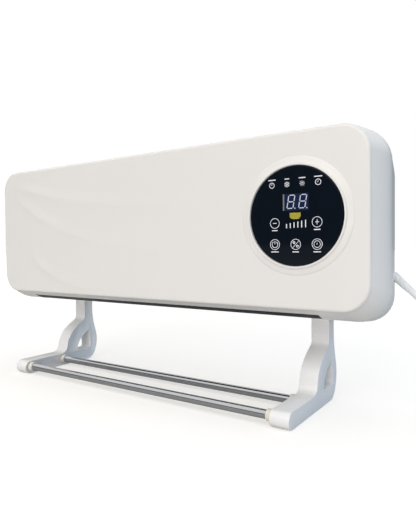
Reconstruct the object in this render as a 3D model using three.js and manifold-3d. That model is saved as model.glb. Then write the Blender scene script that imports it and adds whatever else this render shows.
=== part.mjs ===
// Bathroom wall fan heater with a touch panel and a towel rail underneath.
// Millimetres. +X runs along the front, +Y goes back to the wall, +Z is up, and the feet stand on Z = 0.
// The heater and its rail are drawn from the lower edge of the front face: Y is the depth behind that
// face and Z the height above its lower edge. One group then sets them down on the feet.
import * as THREE from "three";
import { mergeVertices } from "three/addons/utils/BufferGeometryUtils.js";
import Module from "manifold-3d";

const wasm = await Module();
wasm.setup();

// ---- driving sizes ----
const GAP = 0.3; // left between pieces that touch
const WALL = 2.5; // moulded shell
const FACE_WIDTH = 530;
const FACE_HEIGHT = 170.5;
const FACE_CORNER = 26.5;
const EDGE_ROUND = 3.2; // rounding where the face turns into the sides
const BODY_DEPTH = 100;
const SWELL_DEPTH = 36; // depth at which the body is widest
const SIDE_SWELL = 9.5;
const UNDER_SWELL = 11.8;
const TOP_SWELL = -1;
const REAR_SIDE = -2.2; // how far the rear stands out past the face at the sides, underside and top
const REAR_UNDER = 20.8;
const REAR_TOP = -9;
const REAR_CORNER = 30;
const REAR_SHELL = 20; // depth of the rear housing
const SEAM_DEPTH = BODY_DEPTH - REAR_SHELL;
const CORNER_STEPS = 5;
const SWELL_STEPS = 3;

const END_BAY = 52; // from the end of the outlet to the edge of the face: room for the motor and the board
const OUTLET_HALF = FACE_WIDTH / 2 - END_BAY; // half the length of the air outlet

const PANEL_SIDES = 40;
const PANEL_INSET = 70; // middle of the touch panel from the right and upper edges of the face
const PANEL_DOWN = 81;
const PANEL_X = FACE_WIDTH / 2 - PANEL_INSET;
const PANEL_Z = FACE_HEIGHT - PANEL_DOWN;
const LENS_RADIUS = 47.5;
const LENS_THICK = 2;
const LENS_PROUD = 0.8; // how far the glass stands in front of the face
const BEZEL_WIDTH = 9;
const BEZEL_PROUD = 2.6;
const BEZEL_WALL = 2.2;
const LENS_SEAT = 2; // thickness of the ledge that the glass lies on
const BOARD_STAND = 4; // from that ledge to the board
const BOARD_THICK = 1.6;
const PAD_X = 21.3; // touch pads, from the middle of the panel
const PAD_HIGH = -6.4;
const PAD_LOW = -26.9;
const PAD_RADIUS = 3;
const LED_PITCH = 15.5;
const LED_INSET = 9.4; // outermost light from the rim of the glass

const HEATER_Z = 36;
const HEATER_TALL = 24;
const FAN_RADIUS = 31;
const VANE_DEEP = 9; // depth of the blades
const FAN_INNER = FAN_RADIUS - VANE_DEEP;
const SCROLL_ROOM = 9.5; // from the wheel to the back wall, and under the wheel to the heater
const FAN_DEPTH = BODY_DEPTH - WALL - SCROLL_ROOM - FAN_RADIUS;
const FAN_Z = HEATER_Z + HEATER_TALL + SCROLL_ROOM - 0.5 + FAN_RADIUS;
const FAN_SIDE_ROOM = 5;
const FAN_HALF = OUTLET_HALF - FAN_SIDE_ROOM;
const FAN_BLADES = 24;
const FAN_BAYS = 4; // stretches of blade between the discs
const DISC_THICK = 2;
const BLADE_THICK = 0.9;
const BLADE_LEAN = 0.24; // radians that a blade's inner edge lies behind its outer edge
const SHAFT_RADIUS = 3;
const RUN_CLEARANCE = 0.2;
const DUCT_THICK = 1.8;
const END_THICK = 2.5;
const MOTOR_RADIUS = 26;
const MOTOR_LENGTH = END_BAY - 12;
const NECK_RADIUS = 11; // opening round the motor's boss
const BUSH_RADIUS = 9; // seat of the far bearing

const HEATER_FRONT = FAN_DEPTH - 27;
const CAP_LENGTH = 13; // end caps of the heater
const HEATER_HALF = OUTLET_HALF - CAP_LENGTH;
const FIN_BAND = 10;
const FIN_PITCH = 15;
const FIN_THICK = 0.6;
const BAR_THICK = 6;
const PLATE_THICK = 1.6;

const OUTLET_WIDE = 50.6;
const OUTLET_REAR = FAN_DEPTH + 5.6;
const OUTLET_FRONT = OUTLET_REAR - OUTLET_WIDE;
const INTAKE_SHORTER = 48; // how much sooner than the outlet the intake ends
const INTAKE_WIDE = 38;
const INTAKE_HALF = OUTLET_HALF - INTAKE_SHORTER;
const INTAKE_REAR = FAN_DEPTH + 13;
const INTAKE_FRONT = INTAKE_REAR - INTAKE_WIDE;

const LOUVRE_THICK = 2.2;
const LOUVRE_SEAT = 0.2; // how far the closed flap lies inside the underside
const LOUVRE_BEVEL = 1; // on the inner front edge
const LOUVRE_ROOM = 0.8; // round the flap in the outlet
const LOUVRE_FRONT = OUTLET_FRONT + LOUVRE_ROOM;
const LOUVRE_REAR = OUTLET_REAR - 7 * LOUVRE_ROOM;
const LOUVRE_PIVOT = LOUVRE_REAR - 1;
const LOUVRE_RISE = 5.6; // height of the pins inside the underside
const PIN_RADIUS = 1.5;
const GRILLE_FRONT = OUTLET_FRONT + 5.5;
const GRILLE_TALL = 8;
const GRILLE_ROOM = 3.8; // over the closed flap
const VANE_PITCH = 17;
const VANE_THICK = 1.6;

const FOOT_BASE = -107.5; // underside of the feet
const BRACKET_INSET = 74.4; // middle of a bracket from the edge of the face
const BRACKET_X = FACE_WIDTH / 2 - BRACKET_INSET;
const BRACKET_THICK = 20;
const STEM_DEEP = 15.5;
const STEM_REAR = BODY_DEPTH - 9;
const STEM_FRONT = STEM_REAR - STEM_DEEP;
const FOOT_TALL = 17;
const FOOT_FRONT = -29;
const TENON_TOP = 8;
const BRACKET_SCREW_Z = -3;
const RAIL_RADIUS = 4.5;
const RAIL_WALL = 1;
const RAIL_HEIGHT = 9.5; // above the underside of the feet, and back from their front
const RAIL_SPACING = 53.5;
const RAIL_Z = FOOT_BASE + RAIL_HEIGHT;
const FRONT_RAIL = FOOT_FRONT + RAIL_HEIGHT;
const REAR_RAIL = FRONT_RAIL + RAIL_SPACING;
const RAIL_SEAT = 8; // how far a rail goes into a foot
const COLLAR_RADIUS = 6;
const COLLAR_LENGTH = 6;

const POST_X = FACE_WIDTH / 2 - 19;
const POST_LOW = 20;
const POST_HIGH = FACE_HEIGHT - 27.5;
const POST_RADIUS = 5.5;
const SCREW_RADIUS = 1.75;
const HEAD_RADIUS = 3.6;
const KEYHOLE_X = 150;
const KEYHOLE_Z = FACE_HEIGHT - 52.5;

const CORD_RADIUS = 3.5;
const CORD_EXIT_X = FACE_WIDTH / 2 - 0.5;
const CORD_EXIT_DEPTH = BODY_DEPTH - 9;
const CORD_EXIT_Z = 29.5;
const CORD_SLOPE = 0.745; // radians below level at which the cord leaves
const RELIEF_LENGTH = 20;
const RELIEF_RADIUS = 5;
const COIL_RADIUS = 47; // middle of the outermost turn
const COIL_PITCH = 7.6;
const COIL_RISE = 7.8;
const COIL_TURNS = 6.25;
const PLUG_RADIUS = 17;
const PLUG_LENGTH = 34;

// ---- solids ----
function asSolid(geometry) {
  const bare = geometry.clone();
  bare.deleteAttribute("normal");
  bare.deleteAttribute("uv");
  const merged = mergeVertices(bare, 1e-4);
  const index = Array.from(merged.index.array);
  const kept = [];
  for (let i = 0; i < index.length; i += 3) {
    const [a, b, c] = index.slice(i, i + 3);
    if (a !== b && b !== c && c !== a) kept.push(a, b, c);
  }
  const vertices = new Float32Array(merged.attributes.position.array);
  let made = new wasm.Manifold(mesh3(vertices, kept));
  if (made.volume() < 0) {
    for (let i = 0; i < kept.length; i += 3) [kept[i], kept[i + 1]] = [kept[i + 1], kept[i]];
    made = new wasm.Manifold(mesh3(vertices, kept));
  }
  return made;
}

function mesh3(vertices, triangles) {
  return new wasm.Mesh({ numProp: 3, vertProperties: vertices, triVerts: new Uint32Array(triangles) });
}

function asGeometry(made) {
  const data = made.getMesh();
  const geometry = new THREE.BufferGeometry();
  const points = [];
  for (let i = 0; i < data.vertProperties.length; i += data.numProp) {
    points.push(...data.vertProperties.slice(i, i + 3));
  }
  geometry.setAttribute("position", new THREE.Float32BufferAttribute(points, 3));
  geometry.setIndex(Array.from(data.triVerts));
  geometry.computeVertexNormals();
  return geometry;
}

function join(...solids) {
  return solids.reduce((whole, next) => whole.add(next));
}

function cut(whole, ...tools) {
  return tools.reduce((rest, tool) => rest.subtract(tool), whole);
}

// ---- shapes ----
function block(x0, x1, y0, y1, z0, z1) {
  const geometry = new THREE.BoxGeometry(x1 - x0, y1 - y0, z1 - z0);
  geometry.translate((x0 + x1) / 2, (y0 + y1) / 2, (z0 + z1) / 2);
  return asSolid(geometry);
}

function extrude(shape, length, steps) {
  return new THREE.ExtrudeGeometry(shape, { depth: length, bevelEnabled: false, curveSegments: steps });
}

function outline(points) {
  return new THREE.Shape(points.map(([a, b]) => new THREE.Vector2(a, b)));
}

// a side view, drawn as depth and height, drawn out along X
function alongX(shape, x0, x1, steps = 8) {
  const geometry = extrude(shape, x1 - x0, steps);
  const turn = new THREE.Matrix4().makeBasis(
    new THREE.Vector3(0, 1, 0),
    new THREE.Vector3(0, 0, 1),
    new THREE.Vector3(1, 0, 0),
  );
  return asSolid(geometry.applyMatrix4(turn).translate(x0, 0, 0));
}

// a plan, drawn as X and depth, drawn out upwards
function upwards(shape, z0, z1) {
  return asSolid(extrude(shape, z1 - z0, 1).translate(0, 0, z0));
}

// a cylinder or cone between two points
function rod(from, to, radius, endRadius = radius, sides = 16) {
  const a = new THREE.Vector3(...from);
  const b = new THREE.Vector3(...to);
  const along = b.clone().sub(a);
  const geometry = new THREE.CylinderGeometry(endRadius, radius, along.length(), sides);
  const turn = new THREE.Quaternion().setFromUnitVectors(new THREE.Vector3(0, 1, 0), along.normalize());
  geometry.applyQuaternion(turn).translate(...a.add(b).multiplyScalar(0.5));
  return asSolid(geometry);
}

function tube(from, to, radius, bore, sides = 16) {
  return cut(rod(from, to, radius, radius, sides), rod(from, to, bore, bore, sides));
}

// a closed profile of radius and depth, turned about a line along Y
function turnedAboutY(profile, x, z, sides) {
  const loop = [...profile, profile[0]].map(([r, y]) => new THREE.Vector2(r, y));
  return asSolid(new THREE.LatheGeometry(loop, sides).translate(x, 0, z));
}

// the outline of a thin strip that follows a line of points
function ribbon(points, thick) {
  const near = [];
  const far = [];
  points.forEach(([x, y], i) => {
    const [px, py] = points[Math.max(i - 1, 0)];
    const [nx, ny] = points[Math.min(i + 1, points.length - 1)];
    const before = Math.atan2(y - py, x - px);
    const after = Math.atan2(ny - y, nx - x);
    const first = i === 0 ? after : before;
    const last = i === points.length - 1 ? before : after;
    let turn = last - first;
    if (turn > Math.PI) turn -= 2 * Math.PI;
    if (turn < -Math.PI) turn += 2 * Math.PI;
    const side = first + turn / 2 + Math.PI / 2;
    const reach = thick / 2 / Math.cos(turn / 2);
    near.push([x + reach * Math.cos(side), y + reach * Math.sin(side)]);
    far.unshift([x - reach * Math.cos(side), y - reach * Math.sin(side)]);
  });
  return outline([...near, ...far]);
}

// ---- the form of the body ----
function formRows() {
  const row = (depth, side, under, top, corner) => ({ depth, side, under, top, corner });
  const bite = EDGE_ROUND * 0.3;
  const rows = [
    row(0, -EDGE_ROUND, -EDGE_ROUND, -EDGE_ROUND, FACE_CORNER - EDGE_ROUND),
    row(bite, -bite, -bite, -bite, FACE_CORNER - bite),
    row(EDGE_ROUND, 0, 0, 0, FACE_CORNER),
  ];
  for (let i = 1; i <= SWELL_STEPS; i++) {
    const u = i / SWELL_STEPS;
    const s = Math.sin((u * Math.PI) / 2);
    const corner = FACE_CORNER + (REAR_CORNER - FACE_CORNER) * s;
    const depth = EDGE_ROUND + (SWELL_DEPTH - EDGE_ROUND) * u;
    rows.push(row(depth, SIDE_SWELL * s, UNDER_SWELL * s, TOP_SWELL * u * u, corner));
  }
  rows.push(row(BODY_DEPTH, REAR_SIDE, REAR_UNDER, REAR_TOP, REAR_CORNER));
  return rows;
}

const FORM = formRows();

function formAt(depth) {
  const last = FORM.length - 1;
  let i = FORM.findIndex((row, k) => k > 0 && depth <= row.depth);
  if (i < 0) i = last;
  const a = FORM[i - 1];
  const b = FORM[i];
  const u = (depth - a.depth) / (b.depth - a.depth);
  const mix = (key) => a[key] + (b[key] - a[key]) * u;
  return {
    half: FACE_WIDTH / 2 + mix("side"),
    low: -mix("under"),
    high: FACE_HEIGHT + mix("top"),
    corner: mix("corner"),
  };
}

// one section of the body, drawn in by an inset
function section(depth, inset) {
  const { half, low, high, corner } = formAt(depth);
  const r = corner - inset;
  const centres = [
    [half - corner, high - corner],
    [corner - half, high - corner],
    [corner - half, low + corner],
    [half - corner, low + corner],
  ];
  return centres.flatMap(([cx, cz], quarter) => {
    return Array.from({ length: CORNER_STEPS + 1 }, (_, k) => {
      const a = ((quarter + k / CORNER_STEPS) * Math.PI) / 2;
      return [cx + r * Math.cos(a), depth, cz + r * Math.sin(a)];
    });
  });
}

// the body between two depths, drawn in by an inset
function bodySlice(from, to, inset) {
  const depths = [from, ...FORM.map((row) => row.depth).filter((d) => d > from && d < to), to];
  const loops = depths.map((depth) => section(depth, inset));
  const n = loops[0].length;
  const triangles = [];
  for (let k = 1; k < loops.length; k++) {
    for (let i = 0; i < n; i++) {
      const j = (i + 1) % n;
      const [a, b, c, d] = [(k - 1) * n + i, (k - 1) * n + j, k * n + i, k * n + j];
      triangles.push(a, b, c, b, d, c);
    }
  }
  const back = (loops.length - 1) * n;
  for (let i = 1; i < n - 1; i++) triangles.push(0, i + 1, i, back, back + i, back + i + 1);
  const geometry = new THREE.BufferGeometry();
  geometry.setAttribute("position", new THREE.Float32BufferAttribute(loops.flat(2), 3));
  geometry.setIndex(triangles);
  return asSolid(geometry);
}

// ---- front cover ----
// a low crest on the face, highest at its start and gone at its end
function wave(start, bend, end) {
  const steps = 16;
  const [widest, tallest] = [7, 0.9];
  const at = ([x, z]) => new THREE.Vector2(x, z);
  const curve = new THREE.QuadraticBezierCurve(at(start), at(bend), at(end));
  const positions = [];
  const triangles = [];
  for (let k = 0; k <= steps; k++) {
    const u = k / steps;
    const { x, y: z } = curve.getPoint(u);
    const fade = Math.min(1, 5 * u + 0.1) * (1 - 0.94 * u);
    const tangent = curve.getTangent(u);
    const drop = widest * fade;
    positions.push(x, 0.5, z, x, -tallest * fade, z);
    positions.push(x + tangent.y * drop, 0.5, z - tangent.x * drop);
  }
  for (let k = 0; k < steps; k++) {
    for (let side = 0; side < 3; side++) {
      const next = (side + 1) % 3;
      const [a, b, c, d] = [3 * k + side, 3 * k + next, 3 * k + 3 + side, 3 * k + 3 + next];
      triangles.push(a, c, b, b, c, d);
    }
  }
  const last = 3 * steps;
  triangles.push(0, 1, 2, last, last + 2, last + 1);
  const geometry = new THREE.BufferGeometry();
  geometry.setAttribute("position", new THREE.Float32BufferAttribute(positions, 3));
  geometry.setIndex(triangles);
  return asSolid(geometry);
}

function frontCover() {
  const shell = cut(bodySlice(0, SEAM_DEPTH, 0), bodySlice(WALL, SEAM_DEPTH + 1, WALL));
  const posts = postPlaces().map(([x, z]) => post(x, z, WALL / 2, SEAM_DEPTH - 2));
  const bores = postPlaces().map(([x, z]) => {
    return rod([x, SEAM_DEPTH - 16, z], [x, BODY_DEPTH, z], SCREW_RADIUS + RUN_CLEARANCE, undefined, 8);
  });
  const left = -FACE_WIDTH / 2;
  const top = FACE_HEIGHT;
  const waves = [
    wave([left + 38, top - 22.5], [left + 125, top - 58.5], [left + 337, top - 64]),
    wave([left + 93, top - 43.5], [left + 115, top - 94.5], [left + 337, top - 110.5]),
    wave([left + 69, 48], [left + 125, 22], [left + 215, 11.5]),
  ];
  const outlet = block(-OUTLET_HALF, OUTLET_HALF, OUTLET_FRONT, OUTLET_REAR, -BODY_DEPTH, WALL);
  const intake = block(-INTAKE_HALF, INTAKE_HALF, INTAKE_FRONT, INTAKE_REAR, FACE_HEIGHT - 18, FACE_HEIGHT + 9);
  const [panelX, panelZ] = [PANEL_X, PANEL_Z];
  const aperture = rod([panelX, -9, panelZ], [panelX, 9, panelZ], sleeveRadius() + GAP, undefined, PANEL_SIDES);
  const notches = [-1, 1].map((side) => {
    const [x0, x1] = bracketSpan(side, GAP);
    return block(x0, x1, STEM_FRONT - GAP, BODY_DEPTH, -BODY_DEPTH, 0);
  });
  return cut(join(shell, ...posts, ...waves), ...bores, outlet, intake, aperture, ...notches);
}

function postPlaces() {
  return [POST_X, -POST_X].flatMap((x) => [POST_LOW, POST_HIGH].map((z) => [x, z]));
}

function post(x, z, from, to) {
  return rod([x, from, z], [x, to, z], POST_RADIUS, undefined, 12);
}

function bracketSpan(side, room) {
  const half = BRACKET_THICK / 2 + room;
  return [side * BRACKET_X - half, side * BRACKET_X + half];
}

// ---- rear housing ----
function keyhole(x, z) {
  const back = BODY_DEPTH;
  const round = rod([x, back - 9, z], [x, back + 1, z], 5);
  const slot = block(x - 2.5, x + 2.5, back - 9, back + 1, z, z + 13);
  return join(round, slot, rod([x, back - 9, z + 13], [x, back + 1, z + 13], 2.5, undefined, 12));
}

function bracketSocket(side) {
  const [x0, x1] = bracketSpan(side, GAP + WALL);
  const back = BODY_DEPTH - WALL / 2;
  const top = TENON_TOP + GAP + WALL;
  const floor = formAt(SEAM_DEPTH).low + WALL + 1.2;
  const inside = block(x0, x1, STEM_FRONT - GAP - WALL, back, floor, top);
  const outer = block(x0, x1, SEAM_DEPTH + GAP, back, -BODY_DEPTH, top);
  return join(inside, outer.intersect(bodySlice(SEAM_DEPTH + GAP, BODY_DEPTH, 0)));
}

function bracketScrewPlaces() {
  return [-1, 1].map((side) => [side * BRACKET_X, BRACKET_SCREW_Z]);
}

function rearHousing() {
  const back = BODY_DEPTH;
  const shell = cut(bodySlice(SEAM_DEPTH + GAP, back, 0), bodySlice(SEAM_DEPTH, back - WALL, WALL));
  const lipWall = 1.5;
  const lip = cut(
    bodySlice(SEAM_DEPTH - 4, back - WALL / 2, WALL + GAP),
    bodySlice(SEAM_DEPTH - 5, back - WALL / 2 + 1, WALL + GAP + lipWall),
  ).intersect(block(-FACE_WIDTH, FACE_WIDTH, SEAM_DEPTH - 4, SEAM_DEPTH + 4, -back, 2 * FACE_HEIGHT));
  const bridge = cut(
    bodySlice(SEAM_DEPTH + GAP, SEAM_DEPTH + 4, 1),
    bodySlice(SEAM_DEPTH, SEAM_DEPTH + 5, WALL + 1),
  );
  const posts = postPlaces().map(([x, z]) => post(x, z, SEAM_DEPTH - 2 + GAP, back - 1));
  const sockets = [-1, 1].map(bracketSocket);
  const stems = [-1, 1].map((side) => {
    const [x0, x1] = bracketSpan(side, GAP);
    return block(x0, x1, STEM_FRONT - GAP, STEM_REAR + GAP, -back, TENON_TOP + GAP);
  });
  const screws = [...postPlaces(), ...bracketScrewPlaces()].flatMap(([x, z]) => [
    rod([x, SEAM_DEPTH - 9, z], [x, back + 1, z], SCREW_RADIUS + RUN_CLEARANCE, undefined, 8),
    rod([x, back - 5, z], [x, back + 1, z], HEAD_RADIUS + GAP, undefined, 12),
  ]);
  const relief = rod(alongCord(-12), alongCord(6), RELIEF_RADIUS + GAP);
  const whole = join(shell, lip, bridge, ...posts, ...sockets);
  const keyholes = [-KEYHOLE_X, KEYHOLE_X].map((x) => keyhole(x, KEYHOLE_Z));
  return cut(whole, ...stems, ...screws, ...keyholes, relief);
}

function screw(x, z) {
  const head = BODY_DEPTH - 5 + GAP;
  const shank = rod([x, SEAM_DEPTH - 8, z], [x, head + 1, z], SCREW_RADIUS, undefined, 8);
  const cap = rod([x, head, z], [x, head + 2.4, z], HEAD_RADIUS, undefined, 12);
  const slot = block(x - HEAD_RADIUS, x + HEAD_RADIUS, head + 1.6, head + 9, z - 0.5, z + 0.5);
  return cut(join(shank, cap), slot);
}

// ---- air intake ----
// a flat piece laid in the slope of the top, some way under its surface
function layOnTop(solid, under) {
  const front = formAt(SWELL_DEPTH).high;
  const slope = Math.atan2(formAt(BODY_DEPTH).high - front, BODY_DEPTH - SWELL_DEPTH);
  const turned = solid.rotate([THREE.MathUtils.radToDeg(slope), 0, 0]);
  return turned.translate([0, 0, front - SWELL_DEPTH * Math.tan(slope) - under]);
}

function intakeGrille() {
  const [half, front, rear] = [INTAKE_HALF - GAP, INTAKE_FRONT + 1, INTAKE_REAR - 1];
  const plate = block(-half, half, front, rear, -WALL, 0);
  const [rows, columns] = [4, 6];
  const slots = [];
  const width = (2 * half) / columns;
  const pitch = (rear - front) / (rows + 0.4);
  for (let i = 0; i < columns; i++) {
    for (let j = 0; j < rows; j++) {
      const x = -half + i * width;
      const y = front + (j + 0.45) * pitch;
      slots.push(block(x + 3, x + width - 3, y, y + pitch * 0.55, -9, 9));
    }
  }
  return layOnTop(cut(plate, ...slots), 0);
}

function dustFilter() {
  const [half, front, rear] = [INTAKE_HALF - 4, INTAKE_FRONT + 4, INTAKE_REAR - 4];
  const plate = block(-half, half, front, rear, -2, 0);
  const inner = block(-half + 4, half - 4, front + 4, rear - 4, -9, 9);
  const bars = [];
  const bays = 12;
  for (let k = 1; k < bays; k++) {
    const x = -half + (2 * half * k) / bays;
    bars.push(block(x - 0.5, x + 0.5, front + 2, rear - 2, -1.5, -0.5));
  }
  const middle = (front + rear) / 2;
  bars.push(block(-half + 2, half - 2, middle - 0.5, middle + 0.5, -1.5, -0.5));
  return layOnTop(join(cut(plate, inner), ...bars), WALL + GAP);
}

// ---- touch panel ----
function sleeveRadius() {
  return LENS_RADIUS + GAP + BEZEL_WALL;
}

function lensBack() {
  return LENS_THICK - LENS_PROUD;
}

function boardFront() {
  return lensBack() + GAP + LENS_SEAT + BOARD_STAND;
}

function bezelRing() {
  const seat = LENS_RADIUS + GAP;
  const sleeve = sleeveRadius();
  const floor = lensBack() + GAP;
  const ring = turnedAboutY(
    [
      [seat, 0.4 - BEZEL_PROUD],
      [seat + 1.5, -BEZEL_PROUD],
      [LENS_RADIUS + BEZEL_WIDTH, -GAP],
      [sleeve, -GAP],
      [sleeve, floor + LENS_SEAT],
      [seat - 5, floor + LENS_SEAT],
      [seat - 5, floor],
      [seat, floor],
    ],
    PANEL_X,
    PANEL_Z,
    PANEL_SIDES,
  );
  const posts = [45, 135, 225, 315].map((degrees) => {
    const a = THREE.MathUtils.degToRad(degrees);
    const x = PANEL_X + (seat - 2) * Math.cos(a);
    const z = PANEL_Z + (seat - 2) * Math.sin(a);
    return rod([x, floor + 1, z], [x, boardFront() - GAP, z], 2, undefined, 8);
  });
  return join(ring, ...posts);
}

function panelLens() {
  const [x, z] = [PANEL_X, PANEL_Z];
  const flat = rod([x, 0.5 - LENS_PROUD, z], [x, lensBack(), z], LENS_RADIUS, undefined, PANEL_SIDES);
  const bevel = rod([x, -LENS_PROUD, z], [x, 0.5 - LENS_PROUD, z], LENS_RADIUS - 0.5, LENS_RADIUS, PANEL_SIDES);
  return join(flat, bevel);
}

function controlBoard() {
  const [x, z] = [PANEL_X, PANEL_Z];
  const front = boardFront();
  const board = rod([x, front, z], [x, front + BOARD_THICK, z], LENS_RADIUS - 0.5, undefined, 28);
  const back = front + BOARD_THICK;
  const chip = block(x - 6, x + 6, back - 0.2, back + 1.6, z - 12, z);
  const socket = block(x + 14, x + 24, back - 0.2, back + 3, z + 8, z + 14);
  const ledHeight = Math.sqrt((LENS_RADIUS - LED_INSET) ** 2 - (1.5 * LED_PITCH) ** 2);
  const leds = [-1.5, -0.5, 0.5, 1.5].map((k) => onControlBoard(k * LED_PITCH, ledHeight, 2, 8));
  return join(board, chip, socket, ...leds, ...touchSprings());
}

// the springs that carry the touch of a finger from the glass to the board
function touchSprings() {
  const places = [
    [-PAD_X, PAD_HIGH],
    [PAD_X, PAD_HIGH],
    [-PAD_X, PAD_LOW],
    [0, PAD_LOW],
    [PAD_X, PAD_LOW],
  ];
  return places.map(([dx, dz]) => onControlBoard(dx, dz, PAD_RADIUS, 8));
}

function onControlBoard(dx, dz, radius, sides) {
  const [x, z] = [PANEL_X + dx, PANEL_Z + dz];
  return rod([x, lensBack() + GAP, z], [x, boardFront() + BOARD_THICK / 2, z], radius, undefined, sides);
}

function displayModule() {
  const [x, z] = [PANEL_X + 0.6, PANEL_Z + 13];
  return block(x - 13.2, x + 13.2, lensBack() + GAP, boardFront() - GAP, z - 8.5, z + 8.5);
}

// ---- blower ----
function bladeOutline(k) {
  const turn = (2 * Math.PI * k) / FAN_BLADES;
  const middle = (FAN_INNER + FAN_RADIUS) / 2;
  const lag = (radius) => BLADE_LEAN * Math.pow((FAN_RADIUS - radius) / (FAN_RADIUS - FAN_INNER), 1.6);
  const edge = (radius, side) => {
    const a = turn - lag(radius) - (side * BLADE_THICK) / 2 / radius;
    return [FAN_DEPTH + radius * Math.cos(a), FAN_Z + radius * Math.sin(a)];
  };
  return outline([
    edge(FAN_RADIUS, 1),
    edge(FAN_RADIUS, -1),
    edge(middle, -1),
    edge(FAN_INNER, -1),
    edge(FAN_INNER, 1),
    edge(middle, 1),
  ]);
}

function blowerWheel() {
  const centre = (x) => [x, FAN_DEPTH, FAN_Z];
  const edge = FAN_RADIUS + 0.6;
  const bay = (2 * FAN_HALF - DISC_THICK) / FAN_BAYS;
  const [left, right] = [1 - FAN_HALF, FAN_HALF - 1];
  const blades = Array.from({ length: FAN_BLADES }, (_, k) => alongX(bladeOutline(k), left, right));
  let wheel = join(...blades);
  for (let k = 0; k <= FAN_BAYS; k++) {
    const x = -FAN_HALF + k * bay;
    const disc = rod(centre(x), centre(x + DISC_THICK), edge, edge, 36);
    const open = rod(centre(x - 1), centre(x + DISC_THICK + 1), FAN_INNER - 1.5, undefined, 18);
    const isEnd = k === 0 || k === FAN_BAYS;
    wheel = wheel.add(isEnd ? disc : cut(disc, open));
  }
  const bore = SHAFT_RADIUS + RUN_CLEARANCE;
  for (const side of [-1, 1]) {
    const [inner, outer] = [side * (FAN_HALF - 14), side * FAN_HALF];
    const cavity = side * (FAN_HALF - 11);
    wheel = wheel.add(rod(centre(inner), centre(outer), 7, undefined, 12));
    wheel = wheel.subtract(rod(centre(cavity), centre(outer + side), bore, undefined, 12));
  }
  return wheel;
}

function motorFront() {
  return -(endPlateInner() + END_THICK + 4);
}

function shaft(from, to) {
  return rod([from, FAN_DEPTH, FAN_Z], [to, FAN_DEPTH, FAN_Z], SHAFT_RADIUS, undefined, 12);
}

function motorShaft() {
  return shaft(motorFront() - 22, -(FAN_HALF - 11 + GAP));
}

function bearingShaft() {
  return shaft(FAN_HALF - 11 + GAP, endPlateInner() + END_THICK + 3);
}

function endPlateInner() {
  return OUTLET_HALF + 1;
}

function blowerMotor() {
  const front = motorFront();
  const at = (x) => [x, FAN_DEPTH, FAN_Z];
  const can = rod(at(front - MOTOR_LENGTH), at(front), MOTOR_RADIUS, undefined, 24);
  const cap = rod(at(front - MOTOR_LENGTH - 3), at(front - MOTOR_LENGTH), 9, 11);
  const boss = rod(at(front), at(front + 2), 10, 8);
  const bore = rod(at(front - 23), at(front + 9), SHAFT_RADIUS + RUN_CLEARANCE, undefined, 12);
  return cut(join(can, cap, boss), bore);
}

function motorMount() {
  const outer = -endPlateInner() - END_THICK - GAP;
  const front = motorFront();
  const at = (x) => [x, FAN_DEPTH, FAN_Z];
  const cup = cut(
    rod(at(front - 14), at(outer), MOTOR_RADIUS + GAP + 2, undefined, 24),
    rod(at(front - 15), at(front + GAP), MOTOR_RADIUS + GAP, undefined, 24),
    rod(at(front - 15), at(outer + 1), NECK_RADIUS),
  );
  const ears = [-1, 1].map((side) => {
    const z = FAN_Z + side * 36;
    return cut(
      block(outer - 3, outer, FAN_DEPTH - 6, FAN_DEPTH + 6, Math.min(z, FAN_Z) - 6, Math.max(z, FAN_Z) + 6),
      rod(at(front - 15), at(outer + 1), MOTOR_RADIUS, undefined, 24),
    );
  });
  return join(cup, ...ears);
}

function bearingBush() {
  const x = endPlateInner();
  const at = (dx) => [x + dx, FAN_DEPTH, FAN_Z];
  const body = rod(at(0), at(END_THICK + 1), BUSH_RADIUS - GAP);
  const flange = rod(at(END_THICK + GAP), at(END_THICK + 2.5), BUSH_RADIUS + 2);
  return cut(join(body, flange), rod(at(-1), at(9), SHAFT_RADIUS + RUN_CLEARANCE, undefined, 12));
}

// ---- air duct ----
function floorAt(depth) {
  return formAt(depth).low + WALL + 0.4;
}

function endPlate(side) {
  const front = OUTLET_FRONT + 2;
  const rear = BODY_DEPTH - WALL - 0.6;
  const foot = STEM_FRONT - 6;
  const top = FACE_HEIGHT - 20.5;
  const behindPanel = boardFront() + BOARD_THICK + 8.9;
  const floor = [...FORM.map((row) => row.depth).filter((d) => d > front + 1 && d < foot), foot];
  const plan = outline([
    [front, floorAt(front) + 1],
    ...floor.map((depth) => [depth, floorAt(depth)]),
    [foot + 2, TENON_TOP + 7],
    [rear, TENON_TOP + 9],
    [rear, top - 10],
    [rear - 17, top],
    [front + 20, top],
    [behindPanel, top - 20],
    [behindPanel, HEATER_Z + HEATER_TALL],
    [front, HEATER_Z + 4],
  ]);
  const inner = side * endPlateInner();
  const outer = side * (endPlateInner() + END_THICK);
  const plate = alongX(plan, Math.min(inner, outer), Math.max(inner, outer));
  const hub = side < 0 ? NECK_RADIUS : BUSH_RADIUS;
  const through = (y, z, r, sides) => rod([inner - side, y, z], [outer + side * 3, y, z], r, undefined, sides);
  const window = block(inner - 3, inner + 3, HEATER_FRONT + 10, HEATER_FRONT + 34, HEATER_Z + 6, HEATER_Z + 16);
  return cut(
    plate,
    through(FAN_DEPTH, FAN_Z, hub, 16),
    through(LOUVRE_PIVOT, pivotHeight(), PIN_RADIUS + RUN_CLEARANCE, 8),
    window,
  );
}

function guideHalf() {
  return OUTLET_HALF + 1 - GAP;
}

function heaterRear() {
  return HEATER_FRONT + 2 * PLATE_THICK + 3 * FIN_BAND + 2 * BAR_THICK;
}

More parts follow.
